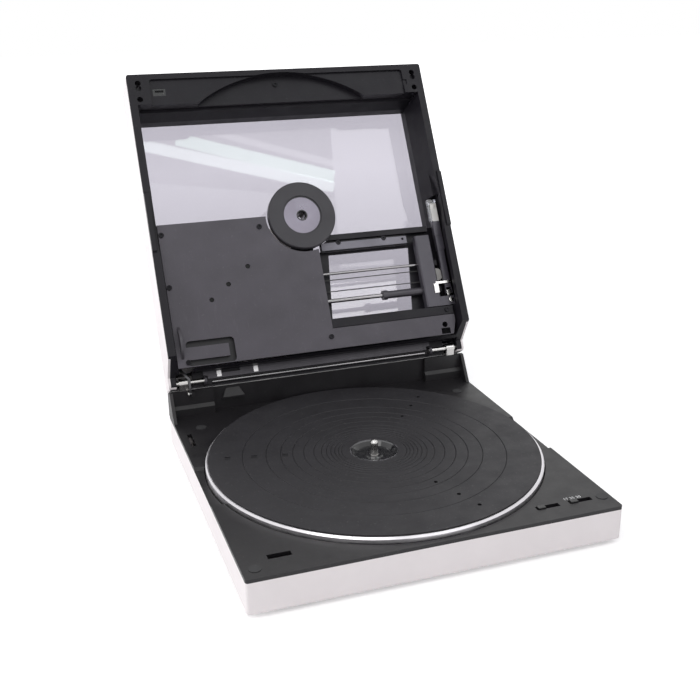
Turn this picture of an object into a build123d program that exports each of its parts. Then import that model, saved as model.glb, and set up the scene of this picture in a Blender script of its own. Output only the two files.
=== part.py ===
from build123d import *
from math import atan2, cos, degrees, pi, radians, sin, sqrt
import os

# Record-jacket-size turntable with a clamshell lid and a linear-tracking arm.
# Lengths are millimetres. The pieces are drawn with the lid shut, with z = 0 on
# the table and the platter axis at x = y = 0. The lid is then opened about its
# hinge pins and everything is moved so that the open part stands centred on the
# origin. X runs to the right, Y to the back and Z up.

# Overall case, laid out round a 300 mm record
RECORD_R = 150.0
SIDE_MARGIN = 7.5
FRONT_MARGIN = 6.0
BACK_MARGIN = 9.0
CLOSED_HEIGHT = 88.0
DECK_Z = 35.0
FOOT_HEIGHT = 4.0
CORNER_R = 2.5
EDGE_R = 3.0
LID_OPEN = 120.0
FIT = 0.2
FACE_GAP = 0.3

HALF_W = RECORD_R + SIDE_MARGIN
FRONT_Y = -RECORD_R - FRONT_MARGIN
BACK_Y = RECORD_R + BACK_MARGIN


def from_side(*insets):
    """X positions, measured in from the right side of the case."""
    places = tuple(HALF_W - inset for inset in insets)
    return places if len(places) > 1 else places[0]


def from_back(*insets):
    """Y positions, measured forward from the back of the case."""
    places = tuple(BACK_Y - inset for inset in insets)
    return places if len(places) > 1 else places[0]


def from_front(*insets):
    """Y positions, measured back from the front of the case."""
    places = tuple(FRONT_Y + inset for inset in insets)
    return places if len(places) > 1 else places[0]


# Hinge axis
HINGE_Y = from_back(6.25)
HINGE_Z = DECK_Z + 33.1

# Cabinet (lower case) and deck
CABINET_WALL = 2.5
CABINET_FLOOR = 2.5
DECK_PLATE = 3.2
CABINET_TOP = DECK_Z - DECK_PLATE
FLOOR_TOP = FOOT_HEIGHT + CABINET_FLOOR
POST_R = 4.0
POST_INSET = 10.5
POST_SPOTS = [
    (side * from_side(inset), y) for side in (-1, 1) for inset, y in (
        (POST_INSET, from_front(10.0)), (POST_INSET, from_back(48.0)), (45.5, from_front(10.0)))]
VENT_LENGTH = 34.0
VENT_WIDTH = 3.0
VENT_PITCH = 8.0
VENT_COUNT = 7
VENT_X = 95.0
VENT_FRONT_Y = -70.0

# Platter well
PLATTER_R = RECORD_R + 0.8
WELL_GAP = 1.1
WELL_WALL = 1.5
WELL_DEPTH = 11.5
WELL_FLOOR = 2.0
MOTOR_OPENING_R = 50.0
WELL_R = PLATTER_R + WELL_GAP
WELL_FLOOR_Z = DECK_Z - WELL_DEPTH

# Finger scoops at both sides of the deck
SCOOP_FRONT_Y = -37.0
SCOOP_BACK_Y = 31.0
SCOOP_DEPTH = 2.5
SCOOP_INNER_X = from_side(14.5)
SCOOP_RAMP = 3.0

# Rear corner blocks, cheeks and wall of the deck
BLOCK_X = from_side(44.0)
BLOCK_FOOT_Y = from_back(13.0)
BLOCK_FACE_Y = from_back(10.0)
BLOCK_LEDGE_Z = 8.0
BLOCK_HEIGHT = 26.0
REAR_WALL_Y = from_back(5.4)
REAR_SLOPE_Y = from_back(7.5)
REAR_LIP_HEIGHT = 21.8
CHEEK = 3.2
CHEEK_FOOT_Y = from_back(28.0)
CHEEK_TOP_Y = from_back(11.4)
RAMP_X = [-from_side(52.5), -from_side(76.0)]
RAMP_TOP_X = [-from_side(57.5), -from_side(70.5)]
RAMP_BOTTOM_Z = 12.5
RAMP_NOSE_Z = 14.0
RAMP_TOP_Z = 22.0
RAMP_REACH = 4.4

# Slots and pads of the deck
SLIDER_Y = from_front(20.2)
SLIDER_SLOT = (21.0, 5.2)
SPEED_SLOT_X = 0.6633 * RECORD_R
SIZE_SLOT_X = from_side(28.0)
KNOB = (6.6, 4.6)
KNOB_HEIGHT = 1.3
KNOB_TRAVEL = 6.0
SWITCH_WALL = 1.5
SWITCH_BODY = (9.0, 7.0)
LATCH_SLOT = (-from_side(32.3), from_front(25.0), 18.7, 6.0)
SIDE_SLOT = (-from_side(9.4), from_back(68.0), 4.2, 27.0)
PAD_R = 5.0
PAD_HEIGHT = 0.4
PAD_SPOTS = [
    (-from_side(10.3), from_front(12.6)), (from_side(7.5), from_front(20.0)),
    (-from_side(23.5), from_back(43.0)), (from_side(22.9), from_back(46.5))]

# Feet
FOOT_R = 12.0
FOOT_DIMPLE_R = 6.0
FOOT_DIMPLE = 1.5
FOOT_X = from_side(32.5)
FOOT_Y = (from_front(26.0), from_back(29.0))

# Platter, mat and hub
RIM_HEIGHT = 4.9
RIM_BEVEL = 1.6
RIM_LAND = 1.0
MAT_SEAT = 3.0
MAT_THICKNESS = 3.0
MAT_R = RECORD_R - 1.8
PLATTER_PLATE = 3.0
SKIRT_WALL = 5.0
SKIRT_BOTTOM = DECK_Z - 9.0
RIB_COUNT = 12
RIB_WIDTH = 2.0
RIB_DEPTH = 4.0
RING_WIDTH = 1.1
HUB_WALL = 3.1
HUB_BOTTOM = DECK_Z - 6.0
HUB_RECESS_R = 20.9
HUB_RECESS_Z = DECK_Z + 0.2
RING_R = HUB_RECESS_R + RING_WIDTH
HUB_R = HUB_RECESS_R + HUB_WALL
RING_PROUD = 0.3
GROOVE_RADII = [RECORD_R - 32.0, 97.0, 84.0, 73.2, 63.3, 54.3, 47.5, 43.0, 39.0, 35.5, 32.2, 29.4]
GROOVE_WIDTH = 0.9
GROOVE_DEPTH = 0.5
SENSE_RADII = [RECORD_R - 70.0, RECORD_R - 42.5, RECORD_R - 19.0]
SENSE_ROUND_ANGLES = [-70.3, 49.5]
SENSE_WINDOW_ANGLE = 167.0
SENSE_HOLE_R = 1.8
SENSE_BORE_R = 2.5
SENSE_WINDOW = (5.0, 6.0)
SPINDLE_R = 3.575
SHAFT_R = 4.0
DISH_BOSS = 2.2
SPINDLE_TIP = 10.4
SPINDLE_DOME = 3.2
SPINDLE_BOTTOM = FLOOR_TOP + 2.5
COLLAR_R = 7.0
COLLAR_HEIGHT = 1.5
RUNNING_FIT = 0.03
RIM_Z = DECK_Z + RIM_HEIGHT
MAT_SEAT_Z = DECK_Z + MAT_SEAT
MAT_TOP_Z = MAT_SEAT_Z + MAT_THICKNESS
PLATE_BOTTOM_Z = MAT_SEAT_Z - PLATTER_PLATE

# Motor below the platter
YOKE_R = 46.0
YOKE_BORE_R = 10.0
YOKE = 1.6
MAGNET_R = (31.0, 45.0)
MAGNET = 3.4
MAGNET_GAP = 0.6
MOTOR_BOARD_R = 56.0
BOARD = 1.6
COIL_R = (3.5, 8.5)
COIL_RING_R = 38.0
COIL_COUNT = 6
BEARING_R = 9.0
BEARING_FLANGE_R = 16.0

# Electronics in the cabinet
MAIN_BOARD = (-60.0, 70.0, from_back(94.0), from_back(29.0))
BOARD_POST = 3.0
BOARD_POST_R = 3.0
CHIP = (22.0, 8.0, 3.5)
CHIP_SPOTS = [(25.0, 20.0), (25.0, 45.0), (70.0, 25.0)]
CAPACITOR_R = 4.0
CAPACITOR_HEIGHT = WELL_FLOOR_Z - WELL_FLOOR - FLOOR_TOP - BOARD_POST - BOARD - 1.9
CAPACITOR_SPOTS = [(95.0, 15.0), (107.0, 15.0), (95.0, 30.0), (107.0, 30.0), (60.0, 50.0), (72.0, 50.0)]
TRANSFORMER_SPOT = (-from_side(24.5), from_back(23.0))
TRANSFORMER_CORE = (38.0, 30.0, CABINET_TOP - FLOOR_TOP - 3.3)
TRANSFORMER_WINDING = (22.0, 36.0, 15.0)
SOCKET_X = from_side(95.5, 77.5)
SOCKET_Z = FLOOR_TOP + 11.5
SOCKET_R = 4.15
SOCKET_PIN_R = 1.7
SOCKET_LENGTH = 9.0
SOCKET_COLLAR = 1.0
INLET_PIN_R = 1.2
INLET_PIN_PITCH = 8.6
INLET_PIN_LENGTH = 9.0
GROUND_X = from_side(57.5)
INLET_X = from_side(29.5)
INLET = (24.0, 15.0)
INLET_MOUTH = (16.0, 8.0)
INLET_DEPTH = 12.0

# Hinge hardware
PIN_R = 2.5
PIN_X = from_side(38.5, 1.1)
BRACKET_X = from_side(19.0, 10.5)
BRACKET_R = 4.6
BRACKET_SWEEP_R = 8.8
BAR_HALF = from_side(40.0)
BAR_FRONT_Y = from_back(15.0)
BAR_BACK_Y = from_back(7.5)
BAR_DIP_X = (-from_side(53.5), -from_side(73.5))
BAR_DROP = 0.9
EAR = 2.2
TORSION_R = 1.4
TORSION_DROP = 2.3
TORSION_X = (-from_side(44.0), from_side(43.0))
CLIP_SPOTS = [-from_side(49.5), -from_side(87.0)]
CLIP_WIDTH = 4.5

# Stay link at the left hinge
STAY_X = (-from_side(19.3), -from_side(21.3))
STAY_Y = from_back(12.7)
STAY_Z = DECK_Z + 23.6
STAY_FAR_Y = from_back(28.0)
STAY_FAR_Z = DECK_Z + 35.0
STAY_WIDTH = 3.2
STAY_BOW = 5.8
STAY_PIN_R = 1.2
STAY_HEAD = (2.2, 1.2)
STAY_LUG = 2.4
STAY_SLOT = 12.0
STAY_JOGGLE = 7.5
STAY_BEND = (0.56, 0.86)

# Lid
LID_RIM_Z = DECK_Z + 0.6
FLANGE = 3.0
SHELL_WALL = 2.2
SHELL_TOP = 2.5
LID_BACK_Y = BACK_Y - 0.5
LID_REAR_LIP_Z = DECK_Z + 40.0
REAR_RIM = 2.0
FRAME_BACK_Y = from_back(17.4)
FRAME_BACK_WALL = 2.4
CAVITY_HALF = from_side(7.5)
CAVITY_FRONT_Y = from_front(32.0)
WINDOW_HALF = from_side(12.0)
WINDOW_FRONT_Y = from_front(37.0)
WINDOW_LIP_Z = DECK_Z + 35.5
WINDOW_LEDGE = 1.5
WALL_STEP_Z = DECK_Z + 17.0
STRIP_RECESS = 2.6
STRIP_HALF = from_side(22.0)
STRIP_FRONT_Y = from_front(5.7)
STRIP_CORNER_R = 3.0
STRIP_FLOOR = 2.5
RECORD_CLEAR_R = RECORD_R + 2.6
RECORD_CLEAR_Z = DECK_Z + 11.0
GRIP_FRONT_Y = -33.0
GRIP_BACK_Y = 27.0
GRIP_DROP = 2.2
HINGE_BOSS_R = 5.75
SLANT_FOOT_Y = from_back(28.8)
SLANT_TOP_Y = from_back(12.0)
HINGE_ROOM_Z = DECK_Z + 36.0
PANE_LEDGE = 2.0
CORNER_HOLE_R = 2.9
CORNER_HOLE_DEPTH = 9.0
CORNER_HOLES = [(from_side(10.7), from_front(9.5)), (from_side(10.7), from_front(26.5))]
CORNER_HOLE_OVERLAP = 5.2
CENTRE_SCREW = (-4.0, from_front(12.5))

SHELL_Z = LID_RIM_Z + FLANGE
SHELL_CEILING = CLOSED_HEIGHT - SHELL_TOP
FRAME_HALF = HALF_W - SHELL_WALL
FRAME_FRONT_Y = FRONT_Y + SHELL_WALL

# Inner cover of the lid
COVER_Z = DECK_Z + 11.0
COVER = 2.5
COVER_TOP = COVER_Z + COVER
COVER_FRONT_Y = -2.5
COVER_RIGHT_X = 12.0
COVER_FOOT_Y = FRAME_BACK_Y - 21.1
COVER_CLEAR = 0.3
COVER_TAPER = (CAVITY_HALF - WINDOW_HALF) / (WINDOW_LIP_Z - LID_RIM_Z)
COVER_EDGE_X = CAVITY_HALF - COVER_TAPER * (COVER_TOP - LID_RIM_Z) - COVER_CLEAR
CLAMP_WELL_R = 38.0
BOX_WALL = 2.2
SENSOR_ANGLE = 143.7
SENSOR_HOLE_R = 2.4
LAMP_R = 2.1
POCKET_X = (-from_side(19.5), -from_side(67.5))
POCKET_Y = (FRAME_BACK_Y - 25.6, FRAME_BACK_Y - 1.0)
POCKET_CORNER_R = 4.0
POCKET_DEPTH = 5.0
POCKET_RIM = 6.0
POCKET_WALL = 1.0
COVER_SCREWS = [
    (-from_side(12.3), 8.0), (-46.2, 7.8), (-from_side(12.3), FRAME_BACK_Y - 80.3),
    (-from_side(19.9), FRAME_BACK_Y - 4.8), (9.0, FRAME_BACK_Y - 12.8)]
STRIP_SCREW = (from_side(18.1), FRAME_BACK_Y - 26.6)
EYE_SPOT = (from_side(23.5), FRAME_BACK_Y - 10.9)
EYE_R = 3.0
EYE_WINDOW = (from_side(28.5), from_side(18.5), FRAME_BACK_Y - 7.3, FRAME_BACK_Y - 1.0)

# Carriage frame and rails
TRAY_Z = DECK_Z + 28.0
TRAY = 2.0
TRAY_LEFT_X = -36.0
TRAY_RIGHT_X = from_side(11.3)
OPENING_LEFT = (26.4, 18.8)
OPENING_RIGHT = from_side(41.0, 49.4)
OPENING_Y = (40.0, FRAME_BACK_Y - 34.1)
TOP_BAR_Y = (20.5, 26.3)
TOP_BAR_X = (26.0, from_side(19.5))
TOP_BAR_Z = DECK_Z + 20.0
STRIP_BAR_Y = (FRAME_BACK_Y - 30.4, FRAME_BACK_Y - 21.7)
STRIP_BAR_X = (12.2, from_side(11.2))
GUARD_BAR_X = (18.3, from_side(44.5))
GUARD_BAR_Y = (28.9, 36.8)
GUARD_TOP = DECK_Z + 22.5
GUARD_BAR = 2.0
GUARD_SCREWS = [(37.1, GUARD_BAR_Y[0]), (from_side(69.9), GUARD_BAR_Y[0])]
GUARD_HOLE_X = from_side(49.0)
ROD_Y = FRAME_BACK_Y - 51.3
ROD_Z = DECK_Z + 21.5
ROD_R = 2.2
ROD_X = (-30.0, from_side(16.0))
RAIL_Y = FRAME_BACK_Y - 80.0
RAIL_R = 1.5
END_BLOCK = 4.0
END_BLOCK_HALF = 2.8
END_BLOCK_LIP = 0.4
CORD_Z = DECK_Z + 24.0
CORD_Y = (RAIL_Y + 6.2, ROD_Y - 10.4)
CORD_R = 0.4
PULLEY_X = (-20.0, from_side(17.0))
PULLEY_SHAFT_R = 1.0
PULLEY_HALF = 0.9
MOTOR_R = 11.0
MOTOR_TOP_GAP = 3.5
LID_SCREW_R = 2.6
LID_SCREW_HEAD = 1.3

# Clamp
CLAMP_Z = DECK_Z + 8.2
CLAMP_R = 35.3
CLAMP_RING_R = 20.6
CLAMP_HEIGHT = 7.8
CLAMP_PLATE = 2.0
CLAMP_DISC_R = 19.0
CLAMP_DISC_Z = DECK_Z + 9.4
CLAMP_DISC = 2.0
STEM_R = 5.5
STEM_BORE_R = 4.0
STEM_MOUTH_R = 4.7
STEM_FLANGE_R = 9.0
STEM_Z = DECK_Z + 9.0
HOLDER_Z = DECK_Z + 21.0
HOLDER = 4.0
HOLDER_R = 26.0
HOLDER_ARM = 13.0
CLAMP_CAP_R = 9.0
CLAMP_CAP = 2.0

# Carriage and tonearm
CARRIAGE_X = from_side(37.9, 21.1)
CARRIAGE_Y = (32.3, FRAME_BACK_Y - 31.6)
CARRIAGE_Z = (DECK_Z + 13.0, DECK_Z + 22.0)
SLEEVE_X = from_side(77.5)
SLEEVE_R = 4.0
SLEEVE_FLANGE_R = 5.0
SLEEVE_FLANGE = 5.0
ARM_X = from_side(10.5)
ARM_Z = DECK_Z + 15.5
BLOCK_Y = (FRAME_BACK_Y - 41.4, FRAME_BACK_Y - 31.6)
BLOCK_RIGHT_X = from_side(5.9)
BLOCK_Z = (DECK_Z + 13.0, DECK_Z + 18.5)
YAW_Y = BLOCK_Y[1] - 5.5
YAW_R = 1.5
LIFT_Y = YAW_Y - 9.0
LIFT_R = 1.0
ARM_HALF = 3.6
ARM_HEIGHT = 5.0
ARM_REAR_Y = LIFT_Y - 4.5
ARM_SHOULDER_Y = 49.6
ARM_COLLAR_Y = 33.6
ARM_HEAD_Y = 18.2
CARTRIDGE_FRONT_Y = -2.5
STYLUS_Y = 0.0
STYLUS_REACH = 2.6
GUARD_FRONT_Y = -6.0

# Controls on the lid's front
BUTTON = (15.0, 6.6)
BUTTON_Z = DECK_Z + 29.0
BUTTON_X = {"start_button": -36.0, "stop_button": -16.0, "cue_button": 4.0}
ROCKER_X = 32.0
ROCKER = (26.0, 6.6)
ROCKER_PIN_R = 0.8
ROCKER_PIN = 1.5
ROCKER_PIN_INSET = 1.0
BUTTON_PROUD = 0.8
BUTTON_TRAVEL = 0.8
BUTTON_GAP = 0.3
CONTROL_HALF = 54.0
SWITCH_REACH = 2.9
LID_SWITCH = (-from_side(24.5), -from_side(37.2), from_front(15.0), from_front(22.5))


def block(x0, x1, y0, y1, z0, z1):
    """Box between two corners."""
    size = Box(x1 - x0, y1 - y0, z1 - z0)
    return Pos((x0 + x1) / 2, (y0 + y1) / 2, (z0 + z1) / 2) * size


def disc(radius, z0, z1, x=0.0, y=0.0):
    """Upright cylinder."""
    return Pos(x, y, (z0 + z1) / 2) * Cylinder(radius, z1 - z0)


def ring(outer, inner, z0, z1, x=0.0, y=0.0):
    """Upright tube."""
    return disc(outer, z0, z1, x, y) - disc(inner, z0 - 1, z1 + 1, x, y)


def rod(radius, x0, x1, y, z):
    """Cylinder along X."""
    return Pos((x0 + x1) / 2, y, z) * Rot(0, 90, 0) * Cylinder(radius, x1 - x0)


def prism(points, x0, x1):
    """Outline of (y, z) points, drawn along X."""
    outline = Polyline(*[(x0, y, z) for y, z in points], close=True)
    return extrude(make_face(outline), amount=x1 - x0, dir=(1, 0, 0))


def slab(points, z0, z1):
    """Outline of (x, y) points, drawn along Z."""
    outline = Polyline(*[(x, y, z0) for x, y in points], close=True)
    return extrude(make_face(outline), amount=z1 - z0, dir=(0, 0, 1))


def turned(points):
    """Outline of (radius, z) points, turned about the platter axis."""
    outline = Polyline(*[(r, 0, z) for r, z in points], close=True)
    return revolve(make_face(outline), axis=Axis.Z)


def mirrored(shape):
    """A shape and its copy at the other side of the case."""
    return [shape, mirror(shape, about=Plane.YZ)]


def fused(pieces):
    """One shape from a list."""
    whole = pieces[0]
    for piece in pieces[1:]:
        whole = whole + piece
    return whole


def polar(radius, angle):
    """Point at a radius and an angle in degrees."""
    return radius * cos(radians(angle)), radius * sin(radians(angle))


# Cabinet and deck

def make_cabinet():
    """Silver lower case: floor, four walls, posts, vents and the rear openings."""
    shell = block(-HALF_W, HALF_W, FRONT_Y, BACK_Y, FOOT_HEIGHT, CABINET_TOP)
    shell = fillet(shell.edges().filter_by(Axis.Z), CORNER_R)
    shell = fillet(shell.edges().group_by(Axis.Z)[0], EDGE_R * 0.8)
    inside = block(
        CABINET_WALL - HALF_W, HALF_W - CABINET_WALL,
        FRONT_Y + CABINET_WALL, BACK_Y - CABINET_WALL,
        FLOOR_TOP, CABINET_TOP + 1)
    shell = shell - inside
    for x, y in POST_SPOTS:
        shell = shell + disc(POST_R, FLOOR_TOP - 0.5, CABINET_TOP, x, y)
    for x, y in board_corners():
        shell = shell + disc(BOARD_POST_R, FLOOR_TOP - 0.5, FLOOR_TOP + BOARD_POST, x, y)
    for side in (-1, 1):
        for index in range(VENT_COUNT):
            y = VENT_FRONT_Y + index * VENT_PITCH
            x = side * VENT_X
            slot = block(x - VENT_LENGTH / 2, x + VENT_LENGTH / 2, y, y + VENT_WIDTH, 0, FLOOR_TOP + 1)
            shell = shell - slot
    for x in SOCKET_X:
        shell = shell - rear_bore(x, SOCKET_R + FIT)
    shell = shell - rear_bore(GROUND_X, 2.2)
    mouth = block(
        INLET_X - INLET[0] / 2 - FIT, INLET_X + INLET[0] / 2 + FIT,
        BACK_Y - CABINET_WALL - 1, BACK_Y + 1,
        SOCKET_Z - INLET[1] / 2 - FIT, SOCKET_Z + INLET[1] / 2 + FIT)
    return shell - mouth


def board_corners():
    """Posts below the corners of the main board."""
    x0, x1, y0, y1 = MAIN_BOARD
    inset = BOARD_POST_R + 1
    return [(x, y) for x in (x0 + inset, x1 - inset) for y in (y0 + inset, y1 - inset)]


def rear_cylinder(x, radius, y0, y1):
    """Cylinder along Y at the height of the rear sockets."""
    return Pos(x, (y0 + y1) / 2, SOCKET_Z) * Rot(90, 0, 0) * Cylinder(radius, y1 - y0)


def rear_bore(x, radius):
    """Hole through the rear wall of the cabinet."""
    return rear_cylinder(x, radius, BACK_Y - CABINET_WALL - 2, BACK_Y + 2)


def rear_profile(foot_y, ledge_y):
    """(y, z) outline of the deck's rear block, sloped at the back to clear the lid."""
    ledge = DECK_Z + BLOCK_LEDGE_Z
    step = ledge_y - foot_y
    return [
        (foot_y, DECK_Z - 1), (foot_y, ledge), (ledge_y, ledge + step),
        (ledge_y, DECK_Z + BLOCK_HEIGHT), (REAR_SLOPE_Y, DECK_Z + BLOCK_HEIGHT),
        (BACK_Y, DECK_Z + REAR_LIP_HEIGHT), (BACK_Y, DECK_Z - 1)]


def rear_slope_z(y):
    """Height of the rear slope at a depth."""
    share = (y - REAR_SLOPE_Y) / (BACK_Y - REAR_SLOPE_Y)
    return DECK_Z + BLOCK_HEIGHT + share * (REAR_LIP_HEIGHT - BLOCK_HEIGHT)


def make_deck():
    """Black deck: plate, platter well, scoops, rear blocks, cheeks and slots."""
    deck = block(-HALF_W, HALF_W, FRONT_Y, BACK_Y, CABINET_TOP, DECK_Z)
    deck = fillet(deck.edges().filter_by(Axis.Z), CORNER_R)
    well = disc(WELL_R + WELL_WALL, WELL_FLOOR_Z - WELL_FLOOR, CABINET_TOP + 1)
    deck = deck + well - disc(WELL_R, WELL_FLOOR_Z, DECK_Z + 1)
    deck = deck - disc(MOTOR_OPENING_R, WELL_FLOOR_Z - WELL_FLOOR - 1, WELL_FLOOR_Z + 1)
    corner = prism(rear_profile(BLOCK_FOOT_Y, BLOCK_FACE_Y), BLOCK_X, HALF_W - CHEEK + 0.1)
    hollow = block(
        BLOCK_X + CHEEK, HALF_W - CHEEK - CABINET_WALL, BLOCK_FACE_Y + 2.2, BACK_Y - 2.2,
        CABINET_TOP - 1, DECK_Z + REAR_LIP_HEIGHT - CHEEK)
    cheek = prism([
        (CHEEK_FOOT_Y, DECK_Z - 1), (CHEEK_FOOT_Y, DECK_Z), (CHEEK_TOP_Y, DECK_Z + BLOCK_HEIGHT),
        (REAR_SLOPE_Y, DECK_Z + BLOCK_HEIGHT), (BACK_Y, DECK_Z + REAR_LIP_HEIGHT),
        (BACK_Y, DECK_Z - 1)], HALF_W - CHEEK, HALF_W)
    for piece in mirrored(corner) + mirrored(cheek):
        deck = deck + piece
    for piece in mirrored(hollow):
        deck = deck - piece
    wall = prism([
        (REAR_WALL_Y, DECK_Z - 1), (REAR_WALL_Y, rear_slope_z(REAR_WALL_Y)),
        (BACK_Y, DECK_Z + REAR_LIP_HEIGHT), (BACK_Y, DECK_Z - 1)], -BLOCK_X - 1, BLOCK_X + 1)
    deck = deck + wall + make_ramp() + make_stay_lug()
    for side in (-1, 1):
        deck = deck - make_scoop(side)
    for x in (SPEED_SLOT_X, SIZE_SLOT_X):
        deck = deck - slot_cut(x, SLIDER_Y, SLIDER_SLOT[0], SLIDER_SLOT[1])
    for x, y, length, width in (LATCH_SLOT, SIDE_SLOT):
        deck = deck - slot_cut(x, y, length, width)
    return deck


def slot_cut(x, y, length, width):
    """Straight slot through the deck plate."""
    return block(
        x - length / 2, x + length / 2, y - width / 2, y + width / 2,
        CABINET_TOP - 1, DECK_Z + 1)


def make_scoop(side):
    """Shallow finger scoop at one side, open to the platter well."""
    floor = DECK_Z - SCOOP_DEPTH
    outline = [
        (SCOOP_FRONT_Y - SCOOP_RAMP, DECK_Z + 0.01), (SCOOP_FRONT_Y, floor),
        (SCOOP_BACK_Y, floor), (SCOOP_BACK_Y + SCOOP_RAMP, DECK_Z + 0.01)]
    cut = prism(outline, SCOOP_INNER_X, HALF_W + 1)
    return cut if side > 0 else mirror(cut, about=Plane.YZ)


def make_ramp():
    """Sloped rest on the rear wall."""
    front = REAR_WALL_Y - RAMP_REACH
    outline = Polyline(
        (RAMP_X[0], front, DECK_Z + RAMP_BOTTOM_Z), (RAMP_X[1], front, DECK_Z + RAMP_BOTTOM_Z),
        (RAMP_TOP_X[1], front, DECK_Z + RAMP_TOP_Z), (RAMP_TOP_X[0], front, DECK_Z + RAMP_TOP_Z),
        close=True)
    body = extrude(make_face(outline), amount=RAMP_REACH + 1, dir=(0, 1, 0))
    above = prism([
        (front - 1, DECK_Z + RAMP_NOSE_Z), (front, DECK_Z + RAMP_NOSE_Z),
        (REAR_WALL_Y, DECK_Z + RAMP_TOP_Z - 0.2), (REAR_WALL_Y + 2, DECK_Z + RAMP_TOP_Z - 0.2),
        (REAR_WALL_Y + 2, DECK_Z + RAMP_TOP_Z + 2), (front - 1, DECK_Z + RAMP_TOP_Z + 2)],
        RAMP_X[0] - 1, RAMP_X[1] + 1)
    return body - above


def make_stay_lug():
    """Lug on the left rear block that carries the stay link's screw."""
    right = STAY_X[1] + FACE_GAP
    lug = block(
        right, right + 3, STAY_Y - STAY_LUG, BLOCK_FACE_Y + 1,
        STAY_Z - STAY_LUG, STAY_Z + STAY_LUG)
    return lug - rod(STAY_PIN_R, right - 1, right + 4, STAY_Y, STAY_Z)


def make_feet():
    """Four rubber feet, dimpled below."""
    feet = []
    for x in (-FOOT_X, FOOT_X):
        for y in FOOT_Y:
            foot = disc(FOOT_R, 0, FOOT_HEIGHT, x, y)
            foot = chamfer(foot.edges().group_by(Axis.Z)[0], 0.8)
            feet.append(foot - disc(FOOT_DIMPLE_R, -1, FOOT_DIMPLE, x, y))
    return feet


def make_deck_pads():
    """Small pads that the shut lid rests on."""
    return [disc(PAD_R, DECK_Z, DECK_Z + PAD_HEIGHT, x, y) for x, y in PAD_SPOTS]


def make_base_screws():
    """Screw heads below the floor, under the cabinet's posts."""
    heads = []
    for x, y in POST_SPOTS:
        head = disc(3.2, FOOT_HEIGHT - 1.6, FOOT_HEIGHT, x, y)
        heads.append(head - disc(1.4, FOOT_HEIGHT - 2, FOOT_HEIGHT - 0.8, x, y))
    return heads


# Platter

def make_platter():
    """Cast platter: plate, bevelled rim, skirt, hub and radial ribs."""
    body = turned([
        (SHAFT_R, HUB_RECESS_Z), (HUB_RECESS_R, HUB_RECESS_Z), (HUB_RECESS_R, MAT_SEAT_Z),
        (MAT_R + FACE_GAP, MAT_SEAT_Z), (MAT_R + FACE_GAP, RIM_Z),
        (MAT_R + FACE_GAP + RIM_LAND, RIM_Z), (PLATTER_R, RIM_Z - RIM_BEVEL),
        (PLATTER_R, SKIRT_BOTTOM), (PLATTER_R - SKIRT_WALL, SKIRT_BOTTOM),
        (PLATTER_R - SKIRT_WALL, PLATE_BOTTOM_Z), (HUB_R, PLATE_BOTTOM_Z),
        (HUB_R, HUB_BOTTOM), (SHAFT_R, HUB_BOTTOM)])
    rib = block(
        HUB_R - 1, PLATTER_R - SKIRT_WALL + 1, -RIB_WIDTH / 2, RIB_WIDTH / 2,
        PLATE_BOTTOM_Z - RIB_DEPTH, PLATE_BOTTOM_Z + 0.5)
    for index in range(RIB_COUNT):
        body = body + Rot(0, 0, index * 360 / RIB_COUNT) * rib
    for angle in SENSE_ROUND_ANGLES + [SENSE_WINDOW_ANGLE]:
        for radius in SENSE_RADII:
            x, y = polar(radius, angle)
            body = body - disc(SENSE_BORE_R, PLATE_BOTTOM_Z - 5, MAT_SEAT_Z + 1, x, y)
    return body


def make_mat():
    """Rubber mat with concentric grooves and three rows of sensing holes."""
    mat = ring(MAT_R, RING_R, MAT_SEAT_Z, MAT_TOP_Z)
    for radius in GROOVE_RADII:
        groove = turned([
            (radius - GROOVE_WIDTH / 2, MAT_TOP_Z + 0.01), (radius, MAT_TOP_Z - GROOVE_DEPTH),
            (radius + GROOVE_WIDTH / 2, MAT_TOP_Z + 0.01)])
        mat = mat - groove
    for angle in SENSE_ROUND_ANGLES:
        for radius in SENSE_RADII:
            x, y = polar(radius, angle)
            mat = mat - disc(SENSE_HOLE_R, MAT_SEAT_Z - 1, MAT_TOP_Z + 1, x, y)
    length, width = SENSE_WINDOW
    for radius in SENSE_RADII:
        window = block(
            radius - length / 2, radius + length / 2, -width / 2, width / 2,
            MAT_TOP_Z - GROOVE_DEPTH, MAT_TOP_Z + 1)
        mat = mat - Rot(0, 0, SENSE_WINDOW_ANGLE) * window
    return mat


def make_centre_ring():
    """Bright ring at the middle of the mat."""
    return ring(RING_R, HUB_RECESS_R, MAT_SEAT_Z, MAT_TOP_Z + RING_PROUD)


def make_hub_dish():
    """Glossy dish round the spindle."""
    return turned([
        (SHAFT_R, HUB_RECESS_Z), (SHAFT_R, HUB_RECESS_Z + DISH_BOSS),
        (7.5, HUB_RECESS_Z + DISH_BOSS),
        (8.5, HUB_RECESS_Z + 1.2), (17.5, HUB_RECESS_Z + 1.8), (HUB_RECESS_R - 1.2, MAT_TOP_Z - 0.4),
        (HUB_RECESS_R, MAT_TOP_Z - 0.4), (HUB_RECESS_R, HUB_RECESS_Z)])


def make_spindle():
    """Centre spindle with a rounded tip and a collar below the hub."""
    tip = disc(SPINDLE_R, HUB_RECESS_Z, MAT_TOP_Z + SPINDLE_TIP)
    tip = fillet(tip.edges().group_by(Axis.Z)[-1], SPINDLE_DOME)
    shaft = disc(SHAFT_R, SPINDLE_BOTTOM, HUB_RECESS_Z + DISH_BOSS)
    return shaft + tip + disc(COLLAR_R, HUB_BOTTOM - COLLAR_HEIGHT, HUB_BOTTOM)


def make_rotor():
    """Steel yoke and magnet ring below the hub."""
    yoke = ring(YOKE_R, YOKE_BORE_R, HUB_BOTTOM - YOKE, HUB_BOTTOM)
    magnet = ring(MAGNET_R[1], MAGNET_R[0], HUB_BOTTOM - YOKE - MAGNET, HUB_BOTTOM - YOKE)
    return [yoke, magnet]


# Motor and electronics in the cabinet

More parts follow.
